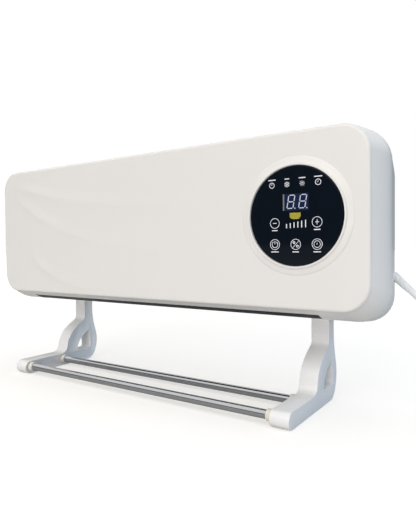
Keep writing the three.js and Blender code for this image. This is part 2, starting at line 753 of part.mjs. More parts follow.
function frontGuide() {
  const reach = FAN_RADIUS + 3.2;
  const tongue = [];
  for (let k = 0; k <= 3; k++) {
    const a = THREE.MathUtils.degToRad(232 - 11 * k);
    tongue.push([FAN_DEPTH + reach * Math.cos(a), FAN_Z + reach * Math.sin(a)]);
  }
  const wallAt = HEATER_FRONT - GAP - DUCT_THICK;
  const heaterTop = HEATER_Z + HEATER_TALL;
  const wall = [
    [wallAt - 3, heaterTop + 14],
    [wallAt - 1, heaterTop],
    [wallAt - 1, HEATER_Z - 4],
    [GRILLE_FRONT - 0.5, grilleTop() + 4],
  ];
  return alongX(ribbon([...tongue, ...wall], DUCT_THICK), -guideHalf(), guideHalf());
}

function rearGuide() {
  const line = [];
  const steps = 10;
  for (let k = 0; k <= steps; k++) {
    const u = k / steps;
    const a = THREE.MathUtils.degToRad(78 - 113 * u);
    const r = FAN_RADIUS + 3.5 + 4.5 * u;
    line.push([FAN_DEPTH + r * Math.cos(a), FAN_Z + r * Math.sin(a)]);
  }
  const wallAt = heaterRear() + GAP + DUCT_THICK;
  line.push([wallAt + 2, HEATER_Z + HEATER_TALL + 3]);
  line.push([wallAt + 1, HEATER_Z - 4]);
  line.push([OUTLET_REAR - 1.2, grilleTop() + 2]);
  return alongX(ribbon(line, DUCT_THICK), -guideHalf(), guideHalf());
}

// ---- heating element ----
function heaterPlaces() {
  const front = HEATER_FRONT + PLATE_THICK;
  const pitch = FIN_BAND + BAR_THICK;
  const fins = [0, 1, 2].map((k) => front + k * pitch);
  const bars = [0, 1].map((k) => front + FIN_BAND + k * pitch);
  return { fins, bars };
}

function ceramicBars() {
  return heaterPlaces().bars.map((y) => {
    return block(-HEATER_HALF, HEATER_HALF, y + GAP, y + BAR_THICK - GAP, HEATER_Z, HEATER_Z + HEATER_TALL);
  });
}

function coolingFins() {
  const half = HEATER_HALF - 6;
  const count = Math.floor((2 * half) / (FIN_PITCH / 2));
  const tip = FIN_THICK / 2 / Math.cos(Math.atan2(FIN_BAND, FIN_PITCH / 2));
  return heaterPlaces().fins.map((y) => {
    const [low, high] = [y + tip + GAP / 2, y + FIN_BAND - tip - GAP / 2];
    const fold = (k) => [(k - count / 2) * (FIN_PITCH / 2), k % 2 ? high : low];
    const line = Array.from({ length: count + 1 }, (_, k) => fold(k));
    return upwards(ribbon(line, FIN_THICK), HEATER_Z + 1, HEATER_Z + HEATER_TALL - 1);
  });
}

function heaterPlates() {
  const rear = heaterRear() - PLATE_THICK;
  return [HEATER_FRONT, rear].map((y) => {
    const [z0, z1] = [HEATER_Z, HEATER_Z + HEATER_TALL];
    return block(-HEATER_HALF, HEATER_HALF, y, y + PLATE_THICK - GAP / 2, z0, z1);
  });
}

function heaterCap(side) {
  const [inner, outer] = [side * (HEATER_HALF + GAP), side * (endPlateInner() - GAP)];
  const span = [Math.min(inner, outer), Math.max(inner, outer)];
  const body = block(...span, HEATER_FRONT, heaterRear(), HEATER_Z - 3, HEATER_Z + HEATER_TALL + 3);
  if (side < 0) return body;
  const tabs = [14, 24].map((dy) => {
    const y = HEATER_FRONT + dy;
    return block(outer - 2, outer + 7, y, y + 6, HEATER_Z + 10, HEATER_Z + 11);
  });
  return join(body, ...tabs);
}

function thermalCutout() {
  const rear = HEATER_FRONT - 0.05;
  const at = (y, z) => [60, y, z];
  const z = HEATER_Z + HEATER_TALL / 2;
  return rod(at(rear - 1.5, z), at(rear - GAP / 2, z), 7, undefined, 20);
}

// ---- outlet ----
function grilleTop() {
  return formAt(GRILLE_FRONT).low + LOUVRE_SEAT + LOUVRE_THICK + GRILLE_ROOM + GRILLE_TALL;
}

function outletGrille() {
  const [z0, z1] = [grilleTop() - GRILLE_TALL, grilleTop()];
  const half = guideHalf();
  const [front, rear] = [GRILLE_FRONT, OUTLET_REAR - 4];
  const frame = cut(
    block(-half, half, front, rear, z0, z1),
    block(-half + 3, half - 3, front + 2, rear - 2, z0 - 1, z1 + 1),
  );
  const count = Math.floor((half - 4) / VANE_PITCH);
  const vanes = [];
  for (let k = -count; k <= count; k++) {
    const x = k * VANE_PITCH;
    vanes.push(block(x - VANE_THICK / 2, x + VANE_THICK / 2, front + 1, rear - 1, z0 + 0.5, z1 - 0.5));
  }
  return join(frame, ...vanes);
}

function louvreLine() {
  const first = LOUVRE_FRONT + LOUVRE_BEVEL;
  const between = FORM.map((row) => row.depth).filter((d) => d > first && d < LOUVRE_REAR);
  return [LOUVRE_FRONT, ...between, LOUVRE_REAR];
}

function outletLouvre() {
  const half = OUTLET_HALF - 0.6;
  const outer = louvreLine().map((d) => [d, formAt(d).low + LOUVRE_SEAT]);
  const inner = louvreLine().map((d) => [d, formAt(d).low + LOUVRE_SEAT + LOUVRE_THICK]);
  inner[0][0] += LOUVRE_BEVEL;
  const plate = alongX(outline([...outer, ...inner.reverse()]), -half, half);
  const ears = [-1, 1].map((side) => {
    const [x0, x1] = [side * half, side * (half - 4)];
    const span = [Math.min(x0, x1), Math.max(x0, x1)];
    const foot = formAt(LOUVRE_PIVOT).low + 1;
    const web = block(...span, LOUVRE_PIVOT - 8, LOUVRE_PIVOT + 0.8, foot, pivotHeight());
    return join(web, rod([x0, LOUVRE_PIVOT, pivotHeight()], [x1, LOUVRE_PIVOT, pivotHeight()], 3.6));
  });
  const bores = [-1, 1].map((side) => louvrePin(side, half - 9, half + 1, PIN_RADIUS + RUN_CLEARANCE));
  return cut(join(plate, ...ears), ...bores);
}

function pivotHeight() {
  return formAt(LOUVRE_PIVOT).low + LOUVRE_RISE;
}

function louvrePin(side, from, to, radius) {
  const at = (x) => [side * x, LOUVRE_PIVOT, pivotHeight()];
  return rod(at(from), at(to), radius, radius, 8);
}

function louvrePins() {
  const seat = OUTLET_HALF - 4.4;
  const outer = endPlateInner() + END_THICK;
  return [louvrePin(-1, seat, outer, PIN_RADIUS), louvrePin(1, seat, outer + 7, PIN_RADIUS)];
}

function louvreMotor() {
  const x = endPlateInner() + END_THICK + GAP;
  const centre = pivotHeight() + 8;
  const can = rod([x + 1.5, LOUVRE_PIVOT, centre], [x + 16, LOUVRE_PIVOT, centre], 10);
  const nose = louvrePin(1, x, x + 9, PIN_RADIUS + 1.2);
  const plate = block(x, x + 2.5, LOUVRE_PIVOT - 16, LOUVRE_PIVOT + 16, centre - 3, centre + 5);
  return cut(join(can, nose, plate), louvrePin(1, x - 1, x + 7, PIN_RADIUS + RUN_CLEARANCE));
}

// ---- power board and wiring ----
function boardPlane() {
  return endPlateInner() + END_THICK + 6;
}

const BOARD_FRONT = 22;
const BOARD_REAR = BODY_DEPTH - 10;
const BOARD_LOW = 22;
const BOARD_HIGH = FACE_HEIGHT - 32.5;

function powerBoard() {
  const x = boardPlane();
  const board = block(x, x + BOARD_THICK, BOARD_FRONT, BOARD_REAR, BOARD_LOW, BOARD_HIGH);
  const seat = endPlateInner() + END_THICK + GAP;
  const posts = [BOARD_FRONT + 8, BOARD_REAR - 8].flatMap((y) => {
    return [BOARD_LOW + 10, BOARD_HIGH - 10].map((z) => rod([seat, y, z], [x + 0.5, y, z], 3, undefined, 12));
  });
  const [buzzerY, buzzerZ] = [BOARD_FRONT + 12, BOARD_HIGH - 16];
  const buzzer = rod([x + 0.5, buzzerY, buzzerZ], [x + 9, buzzerY, buzzerZ], 6, undefined, 20);
  const hub = rod([x - 1, FAN_DEPTH, FAN_Z], [x + 9, FAN_DEPTH, FAN_Z], 13);
  return cut(join(board, buzzer, ...posts), hub);
}

// a piece on the board, placed from the board's front and lower edges
function onBoard(dy, dz, tall, wide, high) {
  const x = boardPlane() + BOARD_THICK + GAP;
  const [y, z] = [BOARD_FRONT + dy, BOARD_LOW + dz];
  return block(x, x + tall, y, y + wide, z, z + high);
}

function relays() {
  return [4, 30].map((dy) => onBoard(dy, 10, 15, 19, 16));
}

function filterCapacitor() {
  return onBoard(BOARD_REAR - BOARD_FRONT - 16, 38, 10, 13, 26);
}

function terminalBlock() {
  const [dy, dz, tall, wide, high] = [6, 36, 12, 32, 10];
  const x = boardPlane() + BOARD_THICK + GAP + tall;
  const z = BOARD_LOW + dz + high / 2;
  const wells = [6, 16, 26].map((step) => {
    const y = BOARD_FRONT + dy + step;
    return rod([x - 3, y, z], [x + 6, y, z], 2.2, undefined, 10);
  });
  return cut(onBoard(dy, dz, tall, wide, high), ...wells);
}

// ---- stand and towel rails ----
// side view of a bracket: upright stem, swept-out leg and flat foot, drawn from the underside
// of the foot below the stem's front
function bracketOutline() {
  const top = TENON_TOP - FOOT_BASE;
  const nose = FOOT_TALL / 2;
  const toe = FOOT_FRONT - STEM_FRONT + nose;
  const s = new THREE.Shape();
  s.moveTo(0, top);
  s.lineTo(0, 65.5);
  s.quadraticCurveTo(0, 61.5, -4, 59.5);
  s.bezierCurveTo(-20.5, 51.5, -31.5, 41.5, -33.5, 27.5);
  s.quadraticCurveTo(-35, FOOT_TALL, -44.5, FOOT_TALL);
  s.lineTo(toe, FOOT_TALL);
  s.absarc(toe, nose, nose, Math.PI / 2, (3 * Math.PI) / 2, false);
  s.lineTo(2.5, 0);
  s.bezierCurveTo(16.5, 0, 21.5, 9.5, 24.1, 25.5);
  s.bezierCurveTo(25.5, 37.5, STEM_DEEP, 53.5, STEM_DEEP, 73.5);
  s.lineTo(STEM_DEEP, top);
  s.holes.push(bracketHole());
  return s;
}

function bracketHole() {
  const hole = new THREE.Path();
  hole.moveTo(6, 43.5);
  hole.quadraticCurveTo(8.5, 45.5, 8.9, 39.5);
  hole.lineTo(10.7, 21.5);
  hole.quadraticCurveTo(10.9, 16.5, 6.5, 16.3);
  hole.lineTo(-11.5, 16.3);
  hole.quadraticCurveTo(-15.9, 16.3, -14.5, 21.5);
  hole.bezierCurveTo(-11.5, 31.5, -3.5, 38.5, 6, 43.5);
  return hole;
}

function bracket(side) {
  const [x0, x1] = bracketSpan(side, 0);
  const inner = side * (BRACKET_X - BRACKET_THICK / 2);
  const seats = [FRONT_RAIL, REAR_RAIL].map((y) => {
    return rod([inner - side, y, RAIL_Z], [inner + side * (RAIL_SEAT + GAP), y, RAIL_Z], RAIL_RADIUS + GAP / 2);
  });
  const bores = bracketScrewPlaces().map(([x, z]) => {
    return rod([x, SEAM_DEPTH - 9, z], [x, BODY_DEPTH, z], SCREW_RADIUS + RUN_CLEARANCE, undefined, 8);
  });
  const form = alongX(bracketOutline(), x0, x1, 6).translate([0, STEM_FRONT, FOOT_BASE]);
  return cut(form, ...seats, ...bores);
}

function rail(y) {
  const end = BRACKET_X - BRACKET_THICK / 2 + RAIL_SEAT;
  return tube([-end, y, RAIL_Z], [end, y, RAIL_Z], RAIL_RADIUS, RAIL_RADIUS - RAIL_WALL);
}

function railCollar(y, side) {
  const face = side * (BRACKET_X - BRACKET_THICK / 2 - GAP);
  return tube([face - side * COLLAR_LENGTH, y, RAIL_Z], [face, y, RAIL_Z], COLLAR_RADIUS, RAIL_RADIUS + GAP / 2);
}

// ---- cord ----
function alongCord(distance) {
  const [dx, dz] = [Math.cos(CORD_SLOPE) * distance, -Math.sin(CORD_SLOPE) * distance];
  return [CORD_EXIT_X + dx, CORD_EXIT_DEPTH, CORD_EXIT_Z + dz];
}

function strainRelief() {
  return join(
    rod(alongCord(-14), alongCord(-11), 6.5),
    rod(alongCord(-11), alongCord(1), RELIEF_RADIUS),
    rod(alongCord(1), alongCord(RELIEF_LENGTH), RELIEF_RADIUS, CORD_RADIUS + 0.5),
  );
}

function tubeAlong(points, radius, sides, steps) {
  const path = new THREE.CatmullRomCurve3(points.map((p) => new THREE.Vector3(...p)));
  const round = new THREE.Shape();
  round.absarc(0, 0, radius, 0, 2 * Math.PI, false);
  const options = { steps, curveSegments: sides / 2, extrudePath: path, bevelEnabled: false };
  return asSolid(new THREE.ExtrudeGeometry(round, options));
}

// ---- the part ----
const part = new THREE.Group();
const heater = new THREE.Group();
heater.position.set(0, (Math.abs(FOOT_FRONT) - BODY_DEPTH) / 2, -FOOT_BASE);
part.add(heater);

function finish(color, roughness, metalness = 0) {
  return new THREE.MeshStandardMaterial({ color, roughness, metalness });
}

function add(name, solid, material, group = heater) {
  const mesh = new THREE.Mesh(asGeometry(solid), material);
  mesh.name = name;
  group.add(mesh);
}

// one mesh for each of a row of like pieces
function addEach(name, endings, solids, material, group = heater) {
  solids.forEach((solid, i) => add(`${name}_${endings[i]}`, solid, material(), group));
}

const white = () => finish(0xeeebe5, 0.32);
const glossBlack = () => finish(0x0b0f1c, 0.08);
const black = () => finish(0x17181a, 0.5);
const steel = () => finish(0x9a9da1, 0.35, 1);
const chrome = () => finish(0xd5d7da, 0.12, 1);
const greyPlastic = () => finish(0xb9bcc0, 0.55);
const boardGreen = () => finish(0x1f5b3a, 0.5);

add("front_cover", frontCover(), white());
add("rear_housing", rearHousing(), white());
add("intake_grille", intakeGrille(), white());
add("dust_filter", dustFilter(), greyPlastic());
add("bezel_ring", bezelRing(), white());
add("panel_lens", panelLens(), glossBlack());
add("display_module", displayModule(), finish(0x0d1a3a, 0.3));
add("control_board", controlBoard(), boardGreen());

add("blower_wheel", blowerWheel(), greyPlastic());
add("motor_shaft", motorShaft(), steel());
add("bearing_shaft", bearingShaft(), steel());
add("bearing_bush", bearingBush(), finish(0x2a2a2c, 0.8));
add("blower_motor", blowerMotor(), steel());
add("motor_mount", motorMount(), greyPlastic());
add("duct_end_left", endPlate(-1), greyPlastic());
add("duct_end_right", endPlate(1), greyPlastic());
add("front_guide", frontGuide(), greyPlastic());
add("rear_guide", rearGuide(), greyPlastic());

addEach("ceramic_bar", ["front", "rear"], ceramicBars(), () => finish(0xd8cfc2, 0.7));
addEach("cooling_fins", ["front", "middle", "rear"], coolingFins(), () => finish(0xc5c8cb, 0.4, 1));
addEach("heater_plate", ["front", "rear"], heaterPlates(), steel);
add("heater_cap_left", heaterCap(-1), finish(0x33291f, 0.6));
add("heater_cap_right", heaterCap(1), finish(0x33291f, 0.6));
add("thermal_cutout", thermalCutout(), finish(0x6b5a45, 0.5));

add("outlet_grille", outletGrille(), black());
add("outlet_louvre", outletLouvre(), black());
addEach("louvre_pin", ["left", "right"], louvrePins(), steel);
add("louvre_motor", louvreMotor(), steel());

add("power_board", powerBoard(), boardGreen());
addEach("relay", ["front", "rear"], relays(), () => finish(0x1d3f78, 0.5));
add("filter_capacitor", filterCapacitor(), finish(0xc9b23a, 0.5));
add("terminal_block", terminalBlock(), finish(0xe4e1d8, 0.5));

add("bracket_left", bracket(-1), white());
add("bracket_right", bracket(1), white());
add("front_rail", rail(FRONT_RAIL), chrome());
add("rear_rail", rail(REAR_RAIL), chrome());
for (const [place, y] of [["front", FRONT_RAIL], ["rear", REAR_RAIL]]) {
  add(`collar_${place}_left`, railCollar(y, -1), finish(0xe6dfcf, 0.4));
  add(`collar_${place}_right`, railCollar(y, 1), finish(0xe6dfcf, 0.4));
}
const bracketScrews = bracketScrewPlaces().map(([x, z]) => screw(x, z));
addEach("bracket_screw", ["left", "right"], bracketScrews, steel);
const housingScrews = postPlaces().map(([x, z]) => screw(x, z));
addEach("housing_screw", ["low_right", "high_right", "low_left", "high_left"], housingScrews, steel);
add("strain_relief", strainRelief(), white());

// the cord leaves downwards, comes to the floor and runs into a flat coil that ends in the plug
const cordEnd = [392, CORD_EXIT_DEPTH + heater.position.y, CORD_RADIUS + 0.1];
const cordY = cordEnd[1];

function onFloor([x, y, z]) {
  return [x, y + heater.position.y, z + heater.position.z];
}

function cordRoute() {
  const start = onFloor(alongCord(RELIEF_LENGTH + GAP));
  const straight = onFloor(alongCord(RELIEF_LENGTH + GAP + 2 * CORD_RADIUS));
  const free = [
    [291.6, 111.4],
    [298, 104.4],
    [304, 96.6],
    [309.6, 88],
    [314.6, 78.8],
    [319, 69.4],
    [323.2, 59.8],
    [327.6, 50],
    [332.6, 40],
    [338.6, 30],
    [345.6, 20.8],
    [354, 13],
    [363, 7.6],
    [372, 4.6],
    [380, 3.8],
  ];
  return [start, straight, ...free.map(([x, z]) => [x, cordY, z]), [385, cordY, cordEnd[2]], cordEnd];
}

// turns lie clockwise seen from above: in on the floor, up half a turn, and out on top
function coilPoint(turn) {
  const half = COIL_TURNS / 2;
  const radius = COIL_RADIUS - COIL_PITCH * Math.min(turn, COIL_TURNS - turn);
  const climb = THREE.MathUtils.smoothstep(turn, half - 0.25, half + 0.25);
  const a = Math.PI / 2 - 2 * Math.PI * turn;
  const [cx, cy] = [cordEnd[0] + GAP + 2 * CORD_RADIUS, cordY - COIL_RADIUS];
  return [cx + radius * Math.cos(a), cy + radius * Math.sin(a), cordEnd[2] + COIL_RISE * climb];
}

function coilPoints() {
  const perTurn = 24;
  const count = COIL_TURNS * perTurn;
  const points = [];
  for (let k = 0; k <= count; k++) points.push(coilPoint(k / perTurn));
  const first = points[0];
  const last = points[points.length - 1];
  points.unshift([first[0] - 2 * CORD_RADIUS, first[1], first[2]]);
  points.push([last[0], last[1] - 2 * CORD_RADIUS, last[2]]);
  return points;
}

// rings of six points along the coil, closed at both ends
function coilForm() {
  const sides = 6;
  const points = coilPoints().map((p) => new THREE.Vector3(...p));
  const positions = [];
  points.forEach((p, i) => {
    const before = points[Math.max(i - 1, 0)];
    const after = points[Math.min(i + 1, points.length - 1)];
    const along = after.clone().sub(before).normalize();
    const across = new THREE.Vector3(along.y, -along.x, 0).normalize();
    const up = new THREE.Vector3().crossVectors(across, along);
    for (let s = 0; s < sides; s++) {
      const a = (2 * Math.PI * s) / sides;
      const q = p.clone().addScaledVector(across, CORD_RADIUS * Math.cos(a));
      q.addScaledVector(up, CORD_RADIUS * Math.sin(a));
      positions.push(q.x, q.y, q.z);
    }
  });
  const triangles = [];
  for (let i = 0; i < points.length - 1; i++) {
    for (let s = 0; s < sides; s++) {
      const t = (s + 1) % sides;
      const [a, b, c, d] = [i * sides + s, i * sides + t, (i + 1) * sides + s, (i + 1) * sides + t];
      triangles.push(a, b, c, b, d, c);
    }
  }
  const end = (points.length - 1) * sides;
  for (let s = 1; s < sides - 1; s++) triangles.push(0, s + 1, s, end, end + s, end + s + 1);
  const geometry = new THREE.BufferGeometry();
  geometry.setAttribute("position", new THREE.Float32BufferAttribute(positions, 3));
  geometry.setIndex(triangles);
  return asSolid(geometry);
}

// least room between neighbouring turns of the coil
function coilRoom() {
  const points = coilPoints();
  let least = Infinity;
  for (let i = 0; i < points.length; i++) {
    for (let j = i + 12; j < points.length; j++) {
      least = Math.min(least, Math.hypot(...points[i].map((v, k) => v - points[j][k])));
    }
  }
  return least - 2 * CORD_RADIUS;
}

// the lead comes down from the coil to the middle of the plug, which lies on the floor beside it
function plugPlace() {
  const points = coilPoints();
  const [x, y] = points[points.length - 1];
  return { x, y: y - 46, z: PLUG_RADIUS };
}

function plugLead() {
  const points = coilPoints();
  const [x, y, z] = points[points.length - 1];
  const end = plugPlace();
  return [
    [x, y - GAP, z],
    [x, y - GAP - 7, z],
    [x, y - 16, z + 0.8],
    [x, y - 23, z + 2.8],
    [x, y - 30, end.z - 0.9],
    [x, y - 38, end.z],
    [x, end.y + GAP, end.z],
  ];
}

function plugBody() {
  const { x, y, z } = plugPlace();
  const at = (dy) => [x, y - dy, z];
  return join(
    rod(at(0), at(20), CORD_RADIUS + 0.6, 7, 16),
    rod(at(20), at(24), 7, PLUG_RADIUS - 4, 16),
    rod(at(24), at(30), PLUG_RADIUS - 4, PLUG_RADIUS, 16),
    rod(at(30), at(20 + PLUG_LENGTH), PLUG_RADIUS, PLUG_RADIUS, 16),
  );
}

function plugPins() {
  const { x, y, z } = plugPlace();
  const face = y - 20 - PLUG_LENGTH - GAP;
  return [-9.5, 9.5].map((dx) => {
    const barrel = rod([x + dx, face, z], [x + dx, face - 17, z], 2.4, undefined, 12);
    return barrel.add(rod([x + dx, face - 17, z], [x + dx, face - 19, z], 2.4, 1.4, 12));
  });
}

console.log("least room between turns of the coil, mm:", coilRoom().toFixed(2));
add("power_cord", tubeAlong(cordRoute(), CORD_RADIUS, 8, 30), white(), part);
add("cord_coil", coilForm(), white(), part);
add("plug_lead", tubeAlong(plugLead(), CORD_RADIUS, 8, 8), white(), part);
add("plug_body", plugBody(), white(), part);
addEach("plug_pin", ["left", "right"], plugPins(), steel, part);

export default part;
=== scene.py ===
import math

import bmesh
import bpy
import numpy as np
from mathutils import Matrix, Vector


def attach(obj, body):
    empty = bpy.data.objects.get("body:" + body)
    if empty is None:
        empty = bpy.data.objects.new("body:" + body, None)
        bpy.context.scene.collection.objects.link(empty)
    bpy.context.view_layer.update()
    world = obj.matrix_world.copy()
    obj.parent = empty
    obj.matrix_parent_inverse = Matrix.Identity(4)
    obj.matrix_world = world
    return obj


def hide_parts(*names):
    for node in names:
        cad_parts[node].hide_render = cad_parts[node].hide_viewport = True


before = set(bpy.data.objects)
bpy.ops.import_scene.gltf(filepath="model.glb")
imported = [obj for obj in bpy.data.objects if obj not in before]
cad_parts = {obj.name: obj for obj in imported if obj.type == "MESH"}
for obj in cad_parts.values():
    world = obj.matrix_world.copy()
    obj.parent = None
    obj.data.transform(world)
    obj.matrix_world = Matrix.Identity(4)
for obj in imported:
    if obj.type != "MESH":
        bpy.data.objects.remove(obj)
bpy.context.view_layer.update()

# ---- camera ----
# The heater is seen from its right front, a little above the middle of its face. Lens, place and
# turns are fitted to the corners of the face, the disc, the brackets and the rails.
camera = bpy.data.objects.new("camera", bpy.data.cameras.new("camera"))
bpy.context.scene.collection.objects.link(camera)
camera.data.sensor_fit = "AUTO"
camera.data.sensor_width = 36
camera.data.lens = 33.43
camera.data.clip_start = 0.01
turned_right, tipped_down, rolled = (math.radians(a) for a in (33.775, 1.4545, -0.4973))
camera.matrix_world = (
    Matrix.Translation((0.38054, -0.462, 0.16763))
    @ Matrix.Rotation(turned_right, 4, "Z")
    @ Matrix.Rotation(math.pi / 2 - tipped_down, 4, "X")
    @ Matrix.Rotation(rolled, 4, "Z")
)
bpy.context.scene.camera = camera

# ---- power lead ----
# A white two-core lead, 7 mm across, in a smooth PVC sheath. It leaves the right side at the
# back, slopes down to the floor and is put away in a round coil that ends in the plug.
MM = 0.001
# HEATER takes millimetres from the middle of the face's lower edge, STANDING from the floor
FACE_DEPTH = -35.5
FACE_LOW = 107.5
HEATER = Matrix.Translation((0, FACE_DEPTH * MM, FACE_LOW * MM)) @ Matrix.Scale(MM, 4)
STANDING = Matrix.Scale(MM, 4)
LEAD_RADIUS = 3.5
LEAD_EXIT = Vector((264.5, 91, 29.5))
LEAD_SLOPE = 0.745
# left between pieces that touch
GAP = 0.3
RELIEF_LONG = 20
RELIEF_END = RELIEF_LONG + GAP
ON_FLOOR = LEAD_RADIUS + 0.1
COIL_RADIUS = 47
COIL_PITCH = 7.6
COIL_RISE = 7.8
COIL_TURNS = 6.25
COIL_STEPS = 24
PLUG_RADIUS = 17
PLUG_AWAY = 46


def linear(colour):
    """the linear value of an sRGB hex colour, as the shaders take it"""
    parts = [int(colour[i : i + 2], 16) / 255 for i in (1, 3, 5)]
    return [c / 12.92 if c <= 0.04045 else ((c + 0.055) / 1.055) ** 2.4 for c in parts] + [1]


def node(tree, kind, inputs, **settings):
    """adds a node: settings are its properties, inputs its sockets' values or what feeds them"""
    made = tree.nodes.new(kind)
    for key, value in settings.items():
        setattr(made, key, value)
    for key, value in inputs.items():
        if isinstance(value, bpy.types.NodeSocket):
            tree.links.new(value, made.inputs[key])
        else:
            made.inputs[key].default_value = value
    return made


def surface(name, dark, light, patch, grain, relief, roughness, **shader):
    """a finish whose shade drifts between two close colours over patches, and whose relief is a
    grain, all in millimetres; grains finer than the render shows are drawn as coarse as it needs"""
    material = bpy.data.materials.new(name)
    material.use_nodes = True
    tree = material.node_tree
    tree.nodes.clear()
    place = node(tree, "ShaderNodeTexCoord", {}).outputs["Object"]
    drift = node(tree, "ShaderNodeTexNoise", {"Vector": place, "Scale": 1 / (patch * MM), "Detail": 3})
    shades = {0: drift.outputs["Fac"], 6: linear(dark), 7: linear(light)}
    tint = node(tree, "ShaderNodeMix", shades, data_type="RGBA")
    pits = node(tree, "ShaderNodeTexNoise", {"Vector": place, "Scale": 1 / (grain * MM), "Detail": 2})
    polish = {"Value": pits.outputs["Fac"], "To Min": roughness * 0.95, "To Max": roughness * 1.05}
    rough = node(tree, "ShaderNodeMapRange", polish)
    bump = node(tree, "ShaderNodeBump", {"Height": pits.outputs["Fac"], "Distance": relief * MM})
    sockets = {key.replace("_", " "): value for key, value in shader.items()}
    sockets |= {"Base Color": tint.outputs[2], "Roughness": rough.outputs[0], "Normal": bump.outputs[0]}
    made = node(tree, "ShaderNodeBsdfPrincipled", sockets)
    node(tree, "ShaderNodeOutputMaterial", {"Surface": made.outputs[0]})
    return material


def dress(made, material, body, replaced=()):
    """gives a finished object its material and its body, and hides the imported parts it replaces"""
    if not made.users_collection:
        bpy.context.scene.collection.objects.link(made)
    made.data.materials.append(material)
    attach(made, body)
    if replaced:
        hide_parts(*replaced)
    return made


def ease(x, low, high):
    """0 below low, 1 above high and a smooth rise between"""
    u = min(max((x - low) / (high - low), 0), 1)
    return u * u * (3 - 2 * u)


def along_lead(distance):
    """a point on the lead's straight way out of the side, in the heater's millimetres"""
    step = Vector((math.cos(LEAD_SLOPE), 0, -math.sin(LEAD_SLOPE))) * distance
    return LEAD_EXIT + step


def standing(point):
    """a point in the heater's millimetres as one in the floor's"""
    return STANDING.inverted() @ HEATER @ point


# the way down to the floor, as (across, height)
falling = [
    (291.6, 111.4),
    (298, 104.4),
    (304, 96.6),
    (309.6, 88),
    (314.6, 78.8),
    (319, 69.4),
    (323.2, 59.8),
    (327.6, 50),
    (332.6, 40),
    (338.6, 30),
    (345.6, 20.8),
    (354, 13),
    (363, 7.6),
    (372, 4.6),
    (380, 3.8),
    (385, ON_FLOOR),
    (392, ON_FLOOR),
]
lead_y = standing(LEAD_EXIT).y
coil_x = falling[-1][0] + GAP + 2 * LEAD_RADIUS
coil_y = lead_y - COIL_RADIUS


def coil_point(turn):
    """turns spiral in on the floor, climb half a turn and spiral out on top"""
    half = COIL_TURNS / 2
    radius = COIL_RADIUS - COIL_PITCH * min(turn, COIL_TURNS - turn)
    angle = math.pi / 2 - 2 * math.pi * turn
    rise = COIL_RISE * ease(turn, half - 0.25, half + 0.25)
    return Vector((coil_x + radius * math.cos(angle), coil_y + radius * math.sin(angle), ON_FLOOR + rise))


# the lead starts inside the end of the sleeve and ends 4 mm inside the plug
route = [standing(along_lead(d)) for d in (RELIEF_END - 4, RELIEF_END + 2 * LEAD_RADIUS)]
route += [Vector((x, lead_y, z)) for x, z in falling]
route += [coil_point(k / COIL_STEPS) for k in range(int(COIL_TURNS * COIL_STEPS) + 1)]
coil_end = route[-1]
plug_top = Vector((coil_end.x, coil_end.y - 2 * LEAD_RADIUS - PLUG_AWAY, PLUG_RADIUS))
climb = plug_top.z - coil_end.z
leading = [(8, 0), (16, 0.8), (23, 2.8), (30, climb - 0.9), (38, climb)]
leading += [(2 * LEAD_RADIUS + PLUG_AWAY + 4, climb)]
route += [coil_end + Vector((0, -back, up)) for back, up in leading]

lead_curve = bpy.data.curves.new("power_lead", "CURVE")
lead_curve.dimensions = "3D"
lead_line = lead_curve.splines.new("BEZIER")
lead_line.bezier_points.add(len(route) - 1)
for knot, place in zip(lead_line.bezier_points, route):
    knot.co = place * MM
    knot.handle_left_type = knot.handle_right_type = "AUTO"
lead_curve.resolution_u = 6
lead_curve.bevel_depth = LEAD_RADIUS * MM
lead_curve.bevel_resolution = 4
lead_curve.use_fill_caps = True

# soft PVC sheath drawn over the cores: evenly satin, with the faintest ripple of the cores
pvc = surface("pvc_sheath", "#ebebe9", "#f3f3f1", 60, 2.5, 0.02, 0.42, IOR=1.52)
lead = dress(
    bpy.data.objects.new("power_lead", lead_curve),
    pvc,
    "housing",
    ["power_cord", "cord_coil", "plug_lead"],
)

# ---- strain relief and plug ----
# A ribbed sleeve of soft PVC guards the lead where it leaves the side. The plug is one PVC
# moulding on the lead with a fluted grip, and its two round pins are nickel-plated brass.
RELIEF_RIBS = 6
RIB_PITCH = 3
PLUG_LONG = 54
GRIP_MIDDLE = 41
GRIP_HALF = 9
FLUTES = 16
FLUTE_SHARE = 0.045
PIN_RADIUS = 2.4
PIN_LONG = 19
PIN_APART = 9.5


def finished(name, bm, at=HEATER, crease=35):
    """closes seams, turns faces outwards, shades curves smooth and makes the object"""
    bmesh.ops.remove_doubles(bm, verts=bm.verts, dist=1e-4)
    bmesh.ops.recalc_face_normals(bm, faces=bm.faces)
    bmesh.ops.transform(bm, matrix=at, verts=bm.verts)
    mesh = bpy.data.meshes.new(name)
    for face in bm.faces:
        face.smooth = True
    for edge in bm.edges:
        edge.smooth = len(edge.link_faces) == 2 and edge.calc_face_angle(0) < math.radians(crease)
    bm.to_mesh(mesh)
    bm.free()
    return bpy.data.objects.new(name, mesh)


def turned(name, profile, place, axis, sides=48, closed=False, at=HEATER):
    """a lathe-turned piece: (radius, distance along the axis) points spun about the axis"""
    bm = bmesh.new()
    knots = [bm.verts.new((radius, 0, along)) for radius, along in profile]
    ends = knots[1:] + knots[:1] if closed else knots[1:]
    edges = [bm.edges.new(pair) for pair in zip(knots, ends)]
    bmesh.ops.spin(
        bm,
        geom=knots + edges,
        cent=(0, 0, 0),
        axis=(0, 0, 1),
        angle=2 * math.pi,
        steps=sides,
        use_merge=True,
    )
    facing = Vector(axis).to_track_quat("Z", "Y").to_matrix().to_4x4()
    bmesh.ops.transform(bm, matrix=Matrix.Translation(place) @ facing, verts=bm.verts)
    return finished(name, bm, at)


